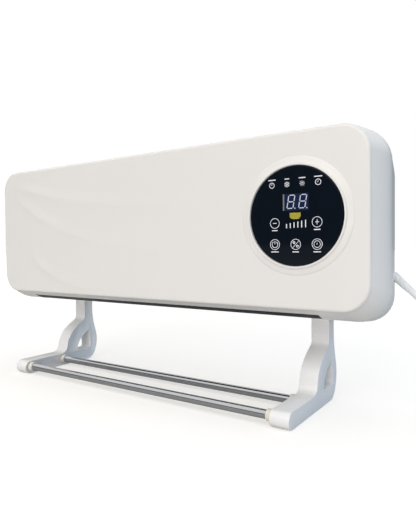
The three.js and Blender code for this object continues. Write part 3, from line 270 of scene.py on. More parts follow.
relief_way = along_lead(1) - along_lead(0)
relief_profile = [(0, -2), (4.7, -2), (4.7, 1), (4.7, 1.4)]
for k in range(RELIEF_RIBS):
    start = 1.8 + RIB_PITCH * k
    outer = 4.55 - 0.12 * k
    relief_profile += [(outer, start), (outer - 0.05, start + 1.9), (outer - 0.4, start + 2.1)]
    relief_profile += [(outer - 0.4, start + 2.7), (outer - 0.12, start + RIB_PITCH)]
relief_profile += [(3.8, RELIEF_LONG), (3.4, RELIEF_LONG), (3.4, 17), (0, 17)]
relief = turned("strain_relief_sleeve", relief_profile, along_lead(0), relief_way)
dress(relief, pvc, "housing", ["strain_relief"])

plug_profile = [(0, 0), (3.8, 0), (4.1, 0.4), (4.6, 4), (5.2, 9), (6.2, 15), (7.2, 20), (8.6, 22)]
plug_profile += [(11.6, 23.6), (14.2, 25.6), (16, 28), (16.8, 31), (PLUG_RADIUS, 34)]
plug_profile += [(PLUG_RADIUS, 50), (16.8, 52), (16.2, 53.2), (15, PLUG_LONG), (0, PLUG_LONG)]
plug = turned("plug_moulding", plug_profile, plug_top, (0, -1, 0), 64, at=STANDING)
for corner in plug.data.vertices:
    x, z = corner.co.x / MM - plug_top.x, corner.co.z / MM - plug_top.z
    along = plug_top.y - corner.co.y / MM
    ripple = 0.5 + 0.5 * math.cos(FLUTES * math.atan2(z, x))
    hold = max(0, 1 - abs(along - GRIP_MIDDLE) / GRIP_HALF) * ripple
    shrink = 1 - FLUTE_SHARE * min(1, 2 * hold)
    corner.co.x = (plug_top.x + x * shrink) * MM
    corner.co.z = (plug_top.z + z * shrink) * MM
dress(plug, pvc, "housing", ["plug_body"])

# nickel plate on brass: a warm grey metal with a fine drawn grain
nickel = surface("nickel_plated_brass", "#b9b5ac", "#cfcbc3", 8, 0.6, 0.01, 0.22, Metallic=1)
pin_profile = [(0, 0), (PIN_RADIUS - 0.1, 0), (PIN_RADIUS, 0.1), (PIN_RADIUS, PIN_LONG - 2)]
pin_profile += [(2.2, PIN_LONG - 1), (1.7, PIN_LONG - 0.3), (0.9, PIN_LONG), (0, PIN_LONG)]
for side, ending in ((-1, "left"), (1, "right")):
    base = plug_top + Vector((side * PIN_APART, -PLUG_LONG - GAP, 0))
    pin = turned(f"contact_pin_{ending}", pin_profile, base, (0, -1, 0), 32, at=STANDING)
    dress(pin, nickel, "housing", [f"plug_pin_{ending}"])

# ---- front cover ----
# One injection moulding in white gloss ABS: a flat face with a rounded edge, and walls that
# swell out behind it and run back to the seam. Three soft crests sweep in from its left edge.
WALL = 2.5
FACE_WIDTH = 530
FACE_HEIGHT = 170.5
FACE_CORNER = 26.5
EDGE_ROUND = 3.2
SWELL_DEPTH = 36
SWELL_BLEND = 14
SEAM = 80
REAR_DEPTH = 100
REAR_CORNER = 30
# how far the sides, the underside and the top stand out past the face, at the swell and the back
SIDE_SWELL, SIDE_REAR = 9.5, -2.2
UNDER_SWELL, UNDER_REAR = 11.8, 20.8
TOP_SWELL, TOP_REAR = -1, -9
OUTLET_HALF, OUTLET_FRONT, OUTLET_REAR = 213, 12, 62.6
INTAKE_HALF, INTAKE_FRONT, INTAKE_REAR = 165, 32, 70
STEM_X = 190.6
STEM_HALF = 10.3
STEM_FRONT = 75.2
# heights that take in the underside, and the top
LOW_BAND = (-30, 30)
HIGH_BAND = (150, 180)
PANEL = Vector((195, 0, 89.5))
LENS_RADIUS = 47.5
SLEEVE_RADIUS = 50.3
HOLE_LIP = 5.5


def form(depth):
    """half width, lowest and highest edge and corner radius of the body at a depth"""
    u = max(depth - EDGE_ROUND, 0) / (SWELL_DEPTH - EDGE_ROUND)
    swell = math.sin(min(u, 1) * math.pi / 2)
    back = (depth - SWELL_DEPTH) / (REAR_DEPTH - SWELL_DEPTH)
    blend = ease(depth, SWELL_DEPTH - SWELL_BLEND, SWELL_DEPTH + SWELL_BLEND)

    def swollen(share, full, rear):
        """the curve of the swell, blended into the straight wall that runs to the back"""
        return full * share * (1 - blend) + (full + (rear - full) * back) * blend

    side = min(swollen(swell, SIDE_SWELL, SIDE_REAR), SIDE_SWELL)
    under = swollen(swell, UNDER_SWELL, UNDER_REAR)
    top = swollen(min(u, 1) ** 2, TOP_SWELL, TOP_REAR)
    corner = FACE_CORNER + (REAR_CORNER - FACE_CORNER) * swell
    return FACE_WIDTH / 2 + side, -under, FACE_HEIGHT + top, corner


def first_ring(bm, depth, inset):
    """the outline of the body at a depth, drawn in by an inset, as a loop of edges"""
    half, low, high, corner = form(depth)
    sheet = bmesh.ops.create_grid(bm, x_segments=1, y_segments=1, size=0.5)["verts"]
    size = Matrix.Diagonal((2 * (half - inset), high - low - 2 * inset, 1, 1))
    upright = Matrix.Rotation(math.pi / 2, 4, "X")
    centre = Matrix.Translation((0, depth, (high + low) / 2))
    bmesh.ops.transform(bm, matrix=centre @ upright @ size, verts=sheet)
    bmesh.ops.bevel(
        bm,
        geom=sheet,
        affect="VERTICES",
        offset_type="OFFSET",
        offset=corner - inset,
        segments=9,
        profile=0.5,
        material=-1,
    )
    bmesh.ops.delete(bm, geom=list(bm.faces), context="FACES_ONLY")
    return list(bm.edges)


def next_ring(bm, edges, old, new):
    """extrudes the outline from one (depth, inset) to the next"""
    made = bmesh.ops.extrude_edge_only(bm, edges=edges)["geom"]
    half, low, high, corner = form(old[0])
    half2, low2, high2, corner2 = form(new[0])
    for v in (g for g in made if isinstance(g, bmesh.types.BMVert)):
        side = math.copysign(1, v.co.x)
        up = v.co.z > (high + low) / 2
        from_z, to_z = (high - corner, high2 - corner2) if up else (low + corner, low2 + corner2)
        share = (corner2 - new[1]) / (corner - old[1])
        v.co.x = side * (half2 - corner2) + (v.co.x - side * (half - corner)) * share
        v.co.z = to_z + (v.co.z - from_z) * share
        v.co.y = new[0]
    return [g for g in made if isinstance(g, bmesh.types.BMEdge)]


def shell(bm, stations):
    """rings of the body through a list of (depth, inset) stations"""
    ring = first_ring(bm, *stations[0])
    for old, new in zip(stations, stations[1:]):
        ring = next_ring(bm, ring, old, new)


def slice_across(bm, places):
    """cuts the mesh at planes across its width"""
    for x in places:
        geometry = [*bm.verts, *bm.edges, *bm.faces]
        bmesh.ops.bisect_plane(bm, geom=geometry, plane_co=(x, 0, 0), plane_no=(1, 0, 0), dist=1e-4)


def cut_window(bm, left, right, front, rear, low, high):
    """takes out the faces whose middles lie in a box"""
    gone = []
    for face in bm.faces:
        x, y, z = face.calc_center_median()
        if left < x < right and front < y < rear and low < z < high:
            gone.append(face)
    bmesh.ops.delete(bm, geom=gone, context="FACES")


def cut_stem_slots(bm, front, rear):
    """opens the underside where the stems of the two brackets go in"""
    for side in (-1, 1):
        middle = side * STEM_X
        cut_window(bm, middle - STEM_HALF, middle + STEM_HALF, front, rear, *LOW_BAND)


def circle(bm, centre, radius, sides):
    """a loop of edges facing the front"""
    facing = Matrix.Translation(centre) @ Matrix.Rotation(math.pi / 2, 4, "X")
    made = bmesh.ops.create_circle(bm, cap_ends=False, radius=radius, segments=sides, matrix=facing)
    return list({e for v in made["verts"] for e in v.link_edges})


def bend(*handles, steps=8):
    """points along the curve of these handles, without its first"""
    made = []
    for k in range(1, steps + 1):
        rest = [Vector(handle) for handle in handles]
        while len(rest) > 1:
            rest = [a.lerp(b, k / steps) for a, b in zip(rest, rest[1:])]
        made.append(rest[0])
    return made


CREST_TALL = 1.7
CREST_RISE = 15
CREST_FALL = 21
CREST_END = 9
CREST_RIM = 5
CREST_STEPS = 90
CREST_LEFT, CREST_RIGHT = -246, 100
CREST_LOW, CREST_HIGH = 5.5, 163
CREST_GRID = (224, 100)
# each crest as the three handles of its curve on the face
crests = [
    ((-242, 150), (-130, 113), (82, 105.5)),
    ((-235, 131), (-128, 56), (74, 59.5)),
    ((-206, 53), (-150, 2), (-20, 7)),
]


def crest_height(points, path):
    """height of one crest at each point of the face: a soft rise above the line of its path,
    a long hollow fall below it, and less and less towards its end"""
    line = np.array([path[0], *bend(*path, steps=CREST_STEPS)])
    away = points[:, None, :] - line[None, :, :]
    nearest = (away**2).sum(2).argmin(1)
    along = np.gradient(line, axis=0)[nearest]
    off = away[np.arange(len(points)), nearest]
    length = np.hypot(along[:, 0], along[:, 1])
    below = (off[:, 0] * along[:, 1] - off[:, 1] * along[:, 0]) / length
    beyond = np.abs(off[:, 0] * along[:, 0] + off[:, 1] * along[:, 1]) / length
    u = nearest / CREST_STEPS
    grows = np.clip(5 * u + 0.1, 0, 1)
    thins = 1 - 0.94 * u
    ends = np.clip(1 - beyond / CREST_END, 0, 1)
    rise = np.clip(1 + below / CREST_RISE, 0, 1)
    fall = np.clip(1 - below / CREST_FALL, 0, 1)
    return CREST_TALL * grows * thins * ends * np.where(below < 0, rise**2 * (3 - 2 * rise), fall**4)


quarter = [k * math.pi / 14 for k in range(8)]
rounded = [(EDGE_ROUND * (1 - math.cos(a)), EDGE_ROUND * (1 - math.sin(a))) for a in quarter]
depths = [5.5, 8.5, OUTLET_FRONT, 15.5, 19, 23, 27.5, INTAKE_FRONT, 37, 42, 48, 55]
depths += [OUTLET_REAR, INTAKE_REAR, STEM_FRONT]
cover_mesh = bmesh.new()
shell(cover_mesh, [*rounded, *((depth, 0) for depth in depths), (SEAM - 0.4, 0), (SEAM, 0.4)])
stem_sides = [side * STEM_X + end for side in (-1, 1) for end in (-STEM_HALF, STEM_HALF)]
slice_across(cover_mesh, [-OUTLET_HALF, OUTLET_HALF, -INTAKE_HALF, INTAKE_HALF, *stem_sides])
cut_window(cover_mesh, -OUTLET_HALF, OUTLET_HALF, OUTLET_FRONT, OUTLET_REAR, *LOW_BAND)
cut_window(cover_mesh, -INTAKE_HALF, INTAKE_HALF, INTAKE_FRONT, INTAKE_REAR, *HIGH_BAND)
cut_stem_slots(cover_mesh, STEM_FRONT, SEAM + 1)

# the face is filled round the panel's hole and round a fine grid, which is then raised
face_edges = [e for e in cover_mesh.edges if all(v.co.y < 0.01 for v in e.verts)]
aperture = circle(cover_mesh, PANEL, SLEEVE_RADIUS + HOLE_LIP, 96)
grid_size = Matrix.Diagonal((CREST_RIGHT - CREST_LEFT, CREST_HIGH - CREST_LOW, 1, 1))
grid_centre = Matrix.Translation(((CREST_RIGHT + CREST_LEFT) / 2, 0, (CREST_HIGH + CREST_LOW) / 2))
patch = bmesh.ops.create_grid(
    cover_mesh,
    x_segments=CREST_GRID[0],
    y_segments=CREST_GRID[1],
    size=0.5,
    matrix=grid_centre @ Matrix.Rotation(math.pi / 2, 4, "X") @ grid_size,
)
patch_edges = list({e for v in patch["verts"] for e in v.link_edges if e.is_boundary})
face_loops = [*face_edges, *aperture, *patch_edges]
bmesh.ops.triangle_fill(cover_mesh, use_beauty=True, edges=face_loops, normal=(0, -1, 0))
lip = bmesh.ops.extrude_edge_only(cover_mesh, edges=aperture)["geom"]
lip = [g for g in lip if isinstance(g, bmesh.types.BMVert)]
drawn_in = SLEEVE_RADIUS / (SLEEVE_RADIUS + HOLE_LIP)
bmesh.ops.scale(cover_mesh, vec=(drawn_in, 1, drawn_in), space=Matrix.Translation(-PANEL), verts=lip)
flat = np.array([(v.co.x, v.co.z) for v in patch["verts"]])
from_rim = np.minimum(flat - (CREST_LEFT, CREST_LOW), (CREST_RIGHT, CREST_HIGH) - flat).min(1)
swept = sum(crest_height(flat, path) for path in crests) * np.clip(from_rim / CREST_RIM, 0, 1)
for v, height in zip(patch["verts"], swept):
    v.co.y = -height
cover = finished("cover_moulding", cover_mesh, crease=30)

# gloss ABS off a polished mould: warm white, a clear but soft sheen, and a slow unevenness in it
# where the moulding cooled
abs_white = surface("gloss_abs", "#e7e4dd", "#ebe8e2", 180, 9, 0.004, 0.26, IOR=1.53, Coat_Weight=0.15)


def walled(made, thick):
    """gives a moulded shell its wall, inwards from the outer face"""
    wall = made.modifiers.new("wall", "SOLIDIFY")
    wall.thickness = thick * MM
    wall.offset = -1
    evened = made.modifiers.new("even_shading", "WEIGHTED_NORMAL")
    evened.keep_sharp = True
    return made


dress(walled(cover, WALL), abs_white, "housing", ["front_cover"])

# ---- rear housing ----
# The back half is the same ABS, pushed into the cover and screwed to it from behind. It runs on
# to the flat back, which carries the keyholes that hang the heater on the wall.
REAR_WALL = 2.2
REAR_FRONT = SEAM + GAP
BACK_ROUND = 2.8
STEM_REAR = 91.3
WELL_RADIUS = 3.9
WELL_DEEP = 4.9
KEYHOLE = Vector((150, REAR_DEPTH, 118))
KEYHOLE_RADIUS = 5
SLOT_RADIUS = 2.5
SLOT_LONG = 13
housing_screws = [(side * 246, z) for side in (-1, 1) for z in (20, 143)]
bracket_screws = [(side * STEM_X, -3) for side in (-1, 1)]
rear_mesh = bmesh.new()
stations = [(REAR_FRONT, 0.4), (REAR_FRONT + 0.4, 0), (86, 0), (STEM_REAR, 0)]
for a in quarter:
    stations.append((REAR_DEPTH - BACK_ROUND * (1 - math.sin(a)), BACK_ROUND * (1 - math.cos(a))))
shell(rear_mesh, stations)
slice_across(rear_mesh, stem_sides)
cut_stem_slots(rear_mesh, SEAM, STEM_REAR)
back_edges = [e for e in rear_mesh.edges if all(v.co.y > REAR_DEPTH - 0.01 for v in e.verts)]
wells = []
for x, z in [*housing_screws, *bracket_screws]:
    wells.append(circle(rear_mesh, (x, REAR_DEPTH, z), WELL_RADIUS, 32))
keyholes = []
for side in (-1, 1):
    x, z = side * KEYHOLE.x, KEYHOLE.z
    waist = math.asin(SLOT_RADIUS / KEYHOLE_RADIUS)
    hole_arc = [math.pi / 2 + waist + k * (2 * math.pi - 2 * waist) / 24 for k in range(25)]
    slot_arc = [k * math.pi / 10 for k in range(11)]
    points = [(x + KEYHOLE_RADIUS * math.cos(a), z + KEYHOLE_RADIUS * math.sin(a)) for a in hole_arc]
    top = z + SLOT_LONG
    points += [(x + SLOT_RADIUS * math.cos(a), top + SLOT_RADIUS * math.sin(a)) for a in slot_arc]
    rim = [rear_mesh.verts.new((px, REAR_DEPTH, pz)) for px, pz in points]
    keyholes.append([rear_mesh.edges.new(pair) for pair in zip(rim, rim[1:] + rim[:1])])
loops = [e for loop in (*wells, *keyholes) for e in loop]
bmesh.ops.triangle_fill(rear_mesh, use_beauty=True, edges=[*back_edges, *loops], normal=(0, 1, 0))
for well in wells:
    sunk = bmesh.ops.extrude_edge_only(rear_mesh, edges=well)["geom"]
    floor_rim = [g for g in sunk if isinstance(g, bmesh.types.BMVert)]
    bmesh.ops.translate(rear_mesh, vec=(0, -WELL_DEEP, 0), verts=floor_rim)
    floor_edges = [g for g in sunk if isinstance(g, bmesh.types.BMEdge)]
    bmesh.ops.contextual_create(rear_mesh, geom=floor_edges)
rear = finished("back_moulding", rear_mesh, crease=30)
dress(walled(rear, REAR_WALL), abs_white, "housing", ["rear_housing"])

# ---- bezel and touch panel ----
# A sloped ABS ring is pressed into the face round the disc, with a thin raised rim. The disc is
# toughened glass, printed dark navy behind, so that it looks black and mirrors the room.
LENS_PROUD = 0.8
LENS_BACK = -1.2
seat = LENS_RADIUS + GAP
bezel_profile = [(seat, -1.5), (seat, 1.9), (seat + 0.25, 2.4), (seat + 0.8, 2.6)]
bezel_profile += [(seat + 1.5, 2.55), (seat + 2.0, 2.35), (seat + 2.25, 1.9), (seat + 2.4, 1.35)]
bezel_profile += [(seat + 2.8, 1.15), (seat + 5, 0.9), (seat + 7, 0.65), (seat + 8.2, 0.42)]
bezel_profile += [(seat + 8.6, 0.2), (seat + 8.7, 0), (SLEEVE_RADIUS - GAP, 0)]
bezel_profile += [(SLEEVE_RADIUS - GAP, -1.5)]
bezel = turned("bezel_moulding", bezel_profile, PANEL, (0, -1, 0), 128, closed=True)
dress(bezel, abs_white, "housing", ["bezel_ring"])

lens_profile = [(0, LENS_PROUD), (46.3, LENS_PROUD), (46.8, 0.79), (47.2, 0.68), (47.45, 0.4)]
lens_profile += [(LENS_RADIUS, 0.1), (LENS_RADIUS, LENS_BACK), (0, LENS_BACK)]
lens = turned("glass_disc", lens_profile, PANEL, (0, -1, 0), 128)
# toughened glass over navy ink: almost black, with a mirror-clear reflection
glass = surface(
    "navy_backed_glass", "#020a13", "#030e1a", 30, 12, 0.0005, 0.05, IOR=1.52, Specular_IOR_Level=0.25
)
dress(lens, glass, "housing", ["panel_lens"])

# ---- marks on the panel ----
# White marks are screen-printed on the glass in epoxy ink: four small signs in the upper half, a
# short bar at each sign and key, the five touch keys, and a rising row of bars.
PRINT_LIFT = 0.03


def stroke(bm, a, b, width):
    """a printed bar from a to b, as (x, z) from the panel's middle"""
    a, b = Vector(a), Vector(b)
    way = b - a
    middle = Matrix.Translation(((a.x + b.x) / 2, 0, (a.y + b.y) / 2))
    tilt = Matrix.Rotation(-math.atan2(way.y, way.x), 4, "Y")
    size = Matrix.Diagonal((way.length, width, 1, 1))
    matrix = middle @ tilt @ Matrix.Rotation(math.pi / 2, 4, "X") @ size
    bmesh.ops.create_grid(bm, x_segments=1, y_segments=1, size=0.5, matrix=matrix)


def hoop(bm, centre, radius, width, start=0, sweep=360, steps=40):
    """a printed ring, or part of one, from an angle and through a sweep"""
    a = math.radians(start)
    inner, outer = radius - width / 2, radius + width / 2
    ends = [(centre[0] + r * math.cos(a), 0, centre[1] + r * math.sin(a)) for r in (inner, outer)]
    pair = [bm.verts.new(end) for end in ends]
    bmesh.ops.spin(
        bm,
        geom=[*pair, bm.edges.new(pair)],
        cent=(centre[0], 0, centre[1]),
        axis=(0, -1, 0),
        angle=math.radians(sweep),
        steps=steps,
        use_merge=sweep == 360,
    )


def printed(name, bm, material, lift=0, thick=0.04):
    """lays flat marks on the glass as a thin layer of ink"""
    bmesh.ops.remove_doubles(bm, verts=bm.verts, dist=1e-4)
    for face in bm.faces:
        face.normal_update()
        if face.normal.y > 0:
            face.normal_flip()
    front = -LENS_PROUD - PRINT_LIFT - lift
    bmesh.ops.translate(bm, vec=(PANEL.x, front, PANEL.z), verts=bm.verts)
    bmesh.ops.solidify(bm, geom=list(bm.faces), thickness=thick)
    return dress(finished(name, bm), material, "housing")


def spoke(angle, length):
    """a step of this length at an angle in radians"""
    return Vector((math.cos(angle), math.sin(angle))) * length


def clock_hands(bm, middle, size, width):
    """the hands of a clock at nine"""
    x, z = middle
    low = z - 0.1 * size
    stroke(bm, (x, low), (x, z + 0.62 * size), width)
    stroke(bm, (x + width / 2, low + width / 2), (x - 0.45 * size, low + width / 2), width)


marks = bmesh.new()
# the signs: power, cool air, heat and clock
SIGNS_X = (-23.8, -8, 7.3, 23)
SIGNS_Z = 30.2
power, cool, heat, clock = (Vector((x, SIGNS_Z)) for x in SIGNS_X)
hoop(marks, power, 2.45, 0.6)
stroke(marks, power - Vector((0, 0.1)), power + Vector((0, 1.7)), 0.6)
for k in range(3):
    arm = spoke(math.radians(60 * k + 30), 2.7)
    stroke(marks, cool - arm, cool + arm, 0.5)
for k in range(6):
    a = math.radians(60 * k + 30)
    fork = cool + spoke(a, 1.5)
    for lean in (-0.9, 0.9):
        stroke(marks, fork, fork + spoke(a + lean, 1.25), 0.42)
hoop(marks, heat, 1.15, 0.5, steps=24)
for k in range(8):
    a = math.radians(45 * k)
    stroke(marks, heat + spoke(a, 1.9), heat + spoke(a, 2.8), 0.42)
hoop(marks, clock, 2.6, 0.6)
clock_hands(marks, clock, 1.9, 0.45)
# the touch keys: less and more above, power, mode and timer below
KEYS_HIGH = -6.4
KEYS_LOW = -26.9
KEYS_X = (-20.9, 0.7, 21.9)
for x in KEYS_X[::2]:
    hoop(marks, (x, KEYS_HIGH), 4.75, 0.5)
    stroke(marks, (x - 1.9, KEYS_HIGH), (x + 1.9, KEYS_HIGH), 0.62)
for low, high in ((0.35, 2.3), (-2.3, -0.35)):
    stroke(marks, (KEYS_X[2], KEYS_HIGH + low), (KEYS_X[2], KEYS_HIGH + high), 0.62)
power, mode, timer = (Vector((x, KEYS_LOW)) for x in KEYS_X)
for key in (power, mode, timer):
    hoop(marks, key, 4.9, 0.5)
hoop(marks, power, 3.0, 0.6, 120, 300, 30)
stroke(marks, power + Vector((0, 0.3)), power + Vector((0, 3.45)), 0.6)
stroke(marks, mode - Vector((3.1, 3.3)), mode + Vector((3.1, 3.3)), 0.45)
hoop(marks, mode + Vector((-1.7, 1.7)), 0.95, 0.7, steps=20)
hoop(marks, mode + Vector((1.7, -1.7)), 0.95, 0.7, steps=20)
hoop(marks, timer, 3.1, 0.5)
clock_hands(marks, timer, 1.9, 0.5)
# short bars above the signs and below the keys, as (middle, half length, height)
short_bars = [(x, half, SIGNS_Z + 5.2) for x, half in zip(SIGNS_X, (3.9, 2.4, 3.3, 4))]
short_bars += [(x, half, KEYS_HIGH - 7) for x, half in zip(KEYS_X[::2], (2.9, 3.2))]
short_bars += [(x, half, KEYS_LOW - 7.1) for x, half in zip(KEYS_X, (4, 3.3, 3.6))]
for x, half, z in short_bars:
    stroke(marks, (x - half, z), (x + half, z), 0.9)
# the level bars rise from left to right
for k in range(6):
    x = -8.6 + 3.85 * k
    stroke(marks, (x, -11.4 + 0.08 * k), (x, -7.4 + 0.66 * k), 0.95)
# white epoxy ink under the gloss of the glass: pale grey-violet, evenly matt at its edges
ink = surface("white_epoxy_ink", "#e6e8ef", "#f0f1f6", 6, 0.8, 0.002, 0.3, IOR=1.5)
printed("printed_marks", marks, ink)

# ---- display ----
# A smoky blue window in the print shows the two slanted digits of the display, with a painted reflection
# as a pale grey strip along its left edge, and a half-round tab of yellow insulating film below it.
WINDOW_LEFT, WINDOW_RIGHT = -12.5, 13.8
WINDOW_MIDDLE = 13
WINDOW_TALL = 16.1
EDGE_X = WINDOW_LEFT + 0.9
window = bmesh.new()
stroke(window, (WINDOW_LEFT, WINDOW_MIDDLE), (WINDOW_RIGHT, WINDOW_MIDDLE), WINDOW_TALL)
# smoked glass over a blue filter: a deep blue that keeps the disc's gloss
smoked = surface("smoked_blue_glass", "#081732", "#0f2347", 14, 5, 0.001, 0.06, IOR=1.52)
printed("display_window", window, smoked, lift=-0.02, thick=0.03)
rim = bmesh.new()
stroke(rim, (EDGE_X, WINDOW_MIDDLE - 7.4), (EDGE_X, WINDOW_MIDDLE + 8.1), 1.5)
# painted reflection: a pale grey strip standing for the light caught on the window's left edge, dull, a
# little lighter in places
painted_edge_glint = surface("display_edge_painted_reflection", "#666a67", "#7f8179", 5, 1, 0.002, 0.35, IOR=1.5)
printed("display_edge", rim, painted_edge_glint, lift=0.02, thick=0.03)

DIGITS_LEFT = (-7.2, 4.7)
DIGIT_TALL = 12.4
DIGIT_WIDE = 6.2
DIGIT_MIDDLE = 13.5
DIGIT_LINE = 0.9
LEAN = 0.17
digits = bmesh.new()


def leaned(x, z):
    """slants a point of a digit"""
    return (x + LEAN * (z - WINDOW_MIDDLE), z)


low, high = DIGIT_MIDDLE - DIGIT_TALL / 2, DIGIT_MIDDLE + DIGIT_TALL / 2
for left in DIGITS_LEFT:
    right = left + DIGIT_WIDE
    for z in (low, DIGIT_MIDDLE, high):
        stroke(digits, leaned(left + 0.75, z), leaned(right - 0.75, z), DIGIT_LINE)
    for x in (left, right):
        stroke(digits, leaned(x, low + 0.55), leaned(x, DIGIT_MIDDLE - 0.55), DIGIT_LINE)
        stroke(digits, leaned(x, DIGIT_MIDDLE + 0.55), leaned(x, high - 0.55), DIGIT_LINE)
    stroke(digits, leaned(right + 1.5, low - 0.1), leaned(right + 2.5, low - 0.1), 1.1)
# milky resin that fills the digits: unlit, it is a pale grey with a little blue
resin = surface("milky_resin", "#bfc4d2", "#d5d8e2", 4, 0.8, 0.002, 0.3, IOR=1.5)
printed("display_digits", digits, resin, lift=0.03)

TAB_RADIUS = 3.4
tab = bmesh.new()
stroke(tab, (-5.3, 1.7), (5.8, 1.7), 2.6)
hoop(tab, (-1.9, 0.4), TAB_RADIUS / 2, TAB_RADIUS, 180, 90, 10)
hoop(tab, (2.4, 0.4), TAB_RADIUS / 2, TAB_RADIUS, 270, 90, 10)
stroke(tab, (-1.9, -1.3), (2.4, -1.3), TAB_RADIUS)
# polyimide film: yellow, thin and slightly crinkled
film = surface("polyimide_film", "#93881f", "#b6a933", 3, 1.2, 0.02, 0.3, IOR=1.6)
printed("yellow_film_tab", tab, film, lift=-0.01, thick=0.03)

# ---- outlet louvre ----
# A black ABS flap closes the air outlet and follows the underside's curve. It hangs on two pins
# at its rear edge and swings down while the heater runs.
LOUVRE_HALF = OUTLET_HALF - 2 * GAP
LOUVRE_FRONT, LOUVRE_REAR = OUTLET_FRONT + 0.8, 57
LOUVRE_THICK = 2.2
LOUVRE_SEAT = 0.2
EAR_THICK = 4
EAR_RADIUS = 3.6
PIVOT_DEPTH = 56
under_pivot = form(PIVOT_DEPTH)[1]
pivot_z = under_pivot + 5.6


def drawn_out(bm, verts, length):
    """a bar of one section, drawn out along the heater"""
    face = bm.faces.new(verts)
    made = bmesh.ops.extrude_face_region(bm, geom=[face])["geom"]
    moved = [g for g in made if isinstance(g, bmesh.types.BMVert)]
    bmesh.ops.translate(bm, vec=(length, 0, 0), verts=moved)
    bmesh.ops.recalc_face_normals(bm, faces=bm.faces)


def eased(bm, offset, segments=2, limit=50):
    """rounds every edge sharper than a limit in degrees"""
    sharp = [e for e in bm.edges if len(e.link_faces) == 2 and e.calc_face_angle(0) > math.radians(limit)]
    bmesh.ops.bevel(
        bm,
        geom=sharp,
        affect="EDGES",
        offset_type="OFFSET",
        offset=offset,
        segments=segments,
        profile=0.5,
        material=-1,
        clamp_overlap=True,
    )


louvre_mesh = bmesh.new()
flap_depths = [LOUVRE_FRONT + (LOUVRE_REAR - LOUVRE_FRONT) * k / 16 for k in range(17)]
outside = [(d, form(d)[1] + LOUVRE_SEAT) for d in flap_depths]
inside = [(d, z + LOUVRE_THICK) for d, z in outside]
inside[0] = (LOUVRE_FRONT + 1, inside[0][1])
section = [louvre_mesh.verts.new((-LOUVRE_HALF, d, z)) for d, z in outside + inside[::-1]]
drawn_out(louvre_mesh, section, 2 * LOUVRE_HALF)
eased(louvre_mesh, 0.35)
ear_foot = under_pivot + 1.2
ear_arc = [math.radians(a) for a in range(0, 181, 15)]
ear = [(PIVOT_DEPTH + EAR_RADIUS * math.cos(a), pivot_z + EAR_RADIUS * math.sin(a)) for a in ear_arc]
ear += [(PIVOT_DEPTH - 8, ear_foot + 1), (PIVOT_DEPTH - 8, ear_foot), (PIVOT_DEPTH + 0.8, ear_foot)]
for start in (-LOUVRE_HALF, LOUVRE_HALF - EAR_THICK):
    drawn_out(louvre_mesh, [louvre_mesh.verts.new((start, d, z)) for d, z in ear], EAR_THICK)
louvre = finished("louvre_flap", louvre_mesh)
# black ABS with a fine spark-eroded grain: satin, greying a little where light grazes it
abs_black = surface("satin_black_abs", "#0c0d0e", "#121315", 50, 1.6, 0.02, 0.5, IOR=1.4)
dress(louvre, abs_black, "louvre", ["outlet_louvre"])

# ---- stand brackets ----
# Two swept feet in gloss ABS plug into slots under the body. Each is a thick moulding with
# softly rounded rims and a window through it, and carries the rails on its inner side.
BRACKET_THICK = 2 * (STEM_HALF - GAP)
BRACKET_DEPTH = STEM_FRONT + GAP
STEM_BACK = STEM_REAR - GAP - BRACKET_DEPTH
FOOT_TOP = 17
NOSE_RADIUS = FOOT_TOP / 2
NOSE_MIDDLE = -96
STEM_FOOT = 65.5
STEM_TOP = 115.5
RIM_ROUND = 1.2
WEB_RIM = 1.4
WEB_SUNK = 0.8
# the outline, as depth from the stem's front and height above the floor
front_side = [Vector((0, STEM_FOOT)), *bend((0, STEM_FOOT), (0, 61.5), (-4, 59.5), steps=5)]
front_side += bend((-4, 59.5), (-20.5, 51.5), (-31.5, 41.5), (-33.5, 27.5), steps=14)
front_side += bend((-33.5, 27.5), (-35, FOOT_TOP), (-44.5, FOOT_TOP), steps=7)
for k in range(15):
    a = math.radians(90 + 180 * k / 14)
    middle = Vector((NOSE_MIDDLE, NOSE_RADIUS))
    front_side += [middle + spoke(a, NOSE_RADIUS)]
front_side += [Vector((2.5, 0))]
rear_side = [Vector((2.5, 0)), *bend((2.5, 0), (16.5, 0), (21.5, 9.5), (24.1, 25.5), steps=12)]
rear_side += bend((24.1, 25.5), (25.5, 37.5), (STEM_BACK, 53.5), (STEM_BACK, 73.5), steps=12)
rear_side += [Vector((STEM_BACK, STEM_TOP)), Vector((0, STEM_TOP)), Vector((0, STEM_FOOT))]
# the window, from its top round each side to its lower right corner
hole_right = [Vector((6, 43.5)), *bend((6, 43.5), (8.5, 45.5), (8.9, 39.5), steps=5), Vector((10.7, 21.5))]
hole_right += bend((10.7, 21.5), (10.9, 16.5), (6.5, 16.3), steps=5)
hole_left = [Vector((6.5, 16.3)), Vector((-11.5, 16.3))]
hole_left += bend((-11.5, 16.3), (-15.9, 16.3), (-14.5, 21.5), steps=5)
hole_left += bend((-14.5, 21.5), (-11.5, 31.5), (-3.5, 38.5), (6, 43.5), steps=9)
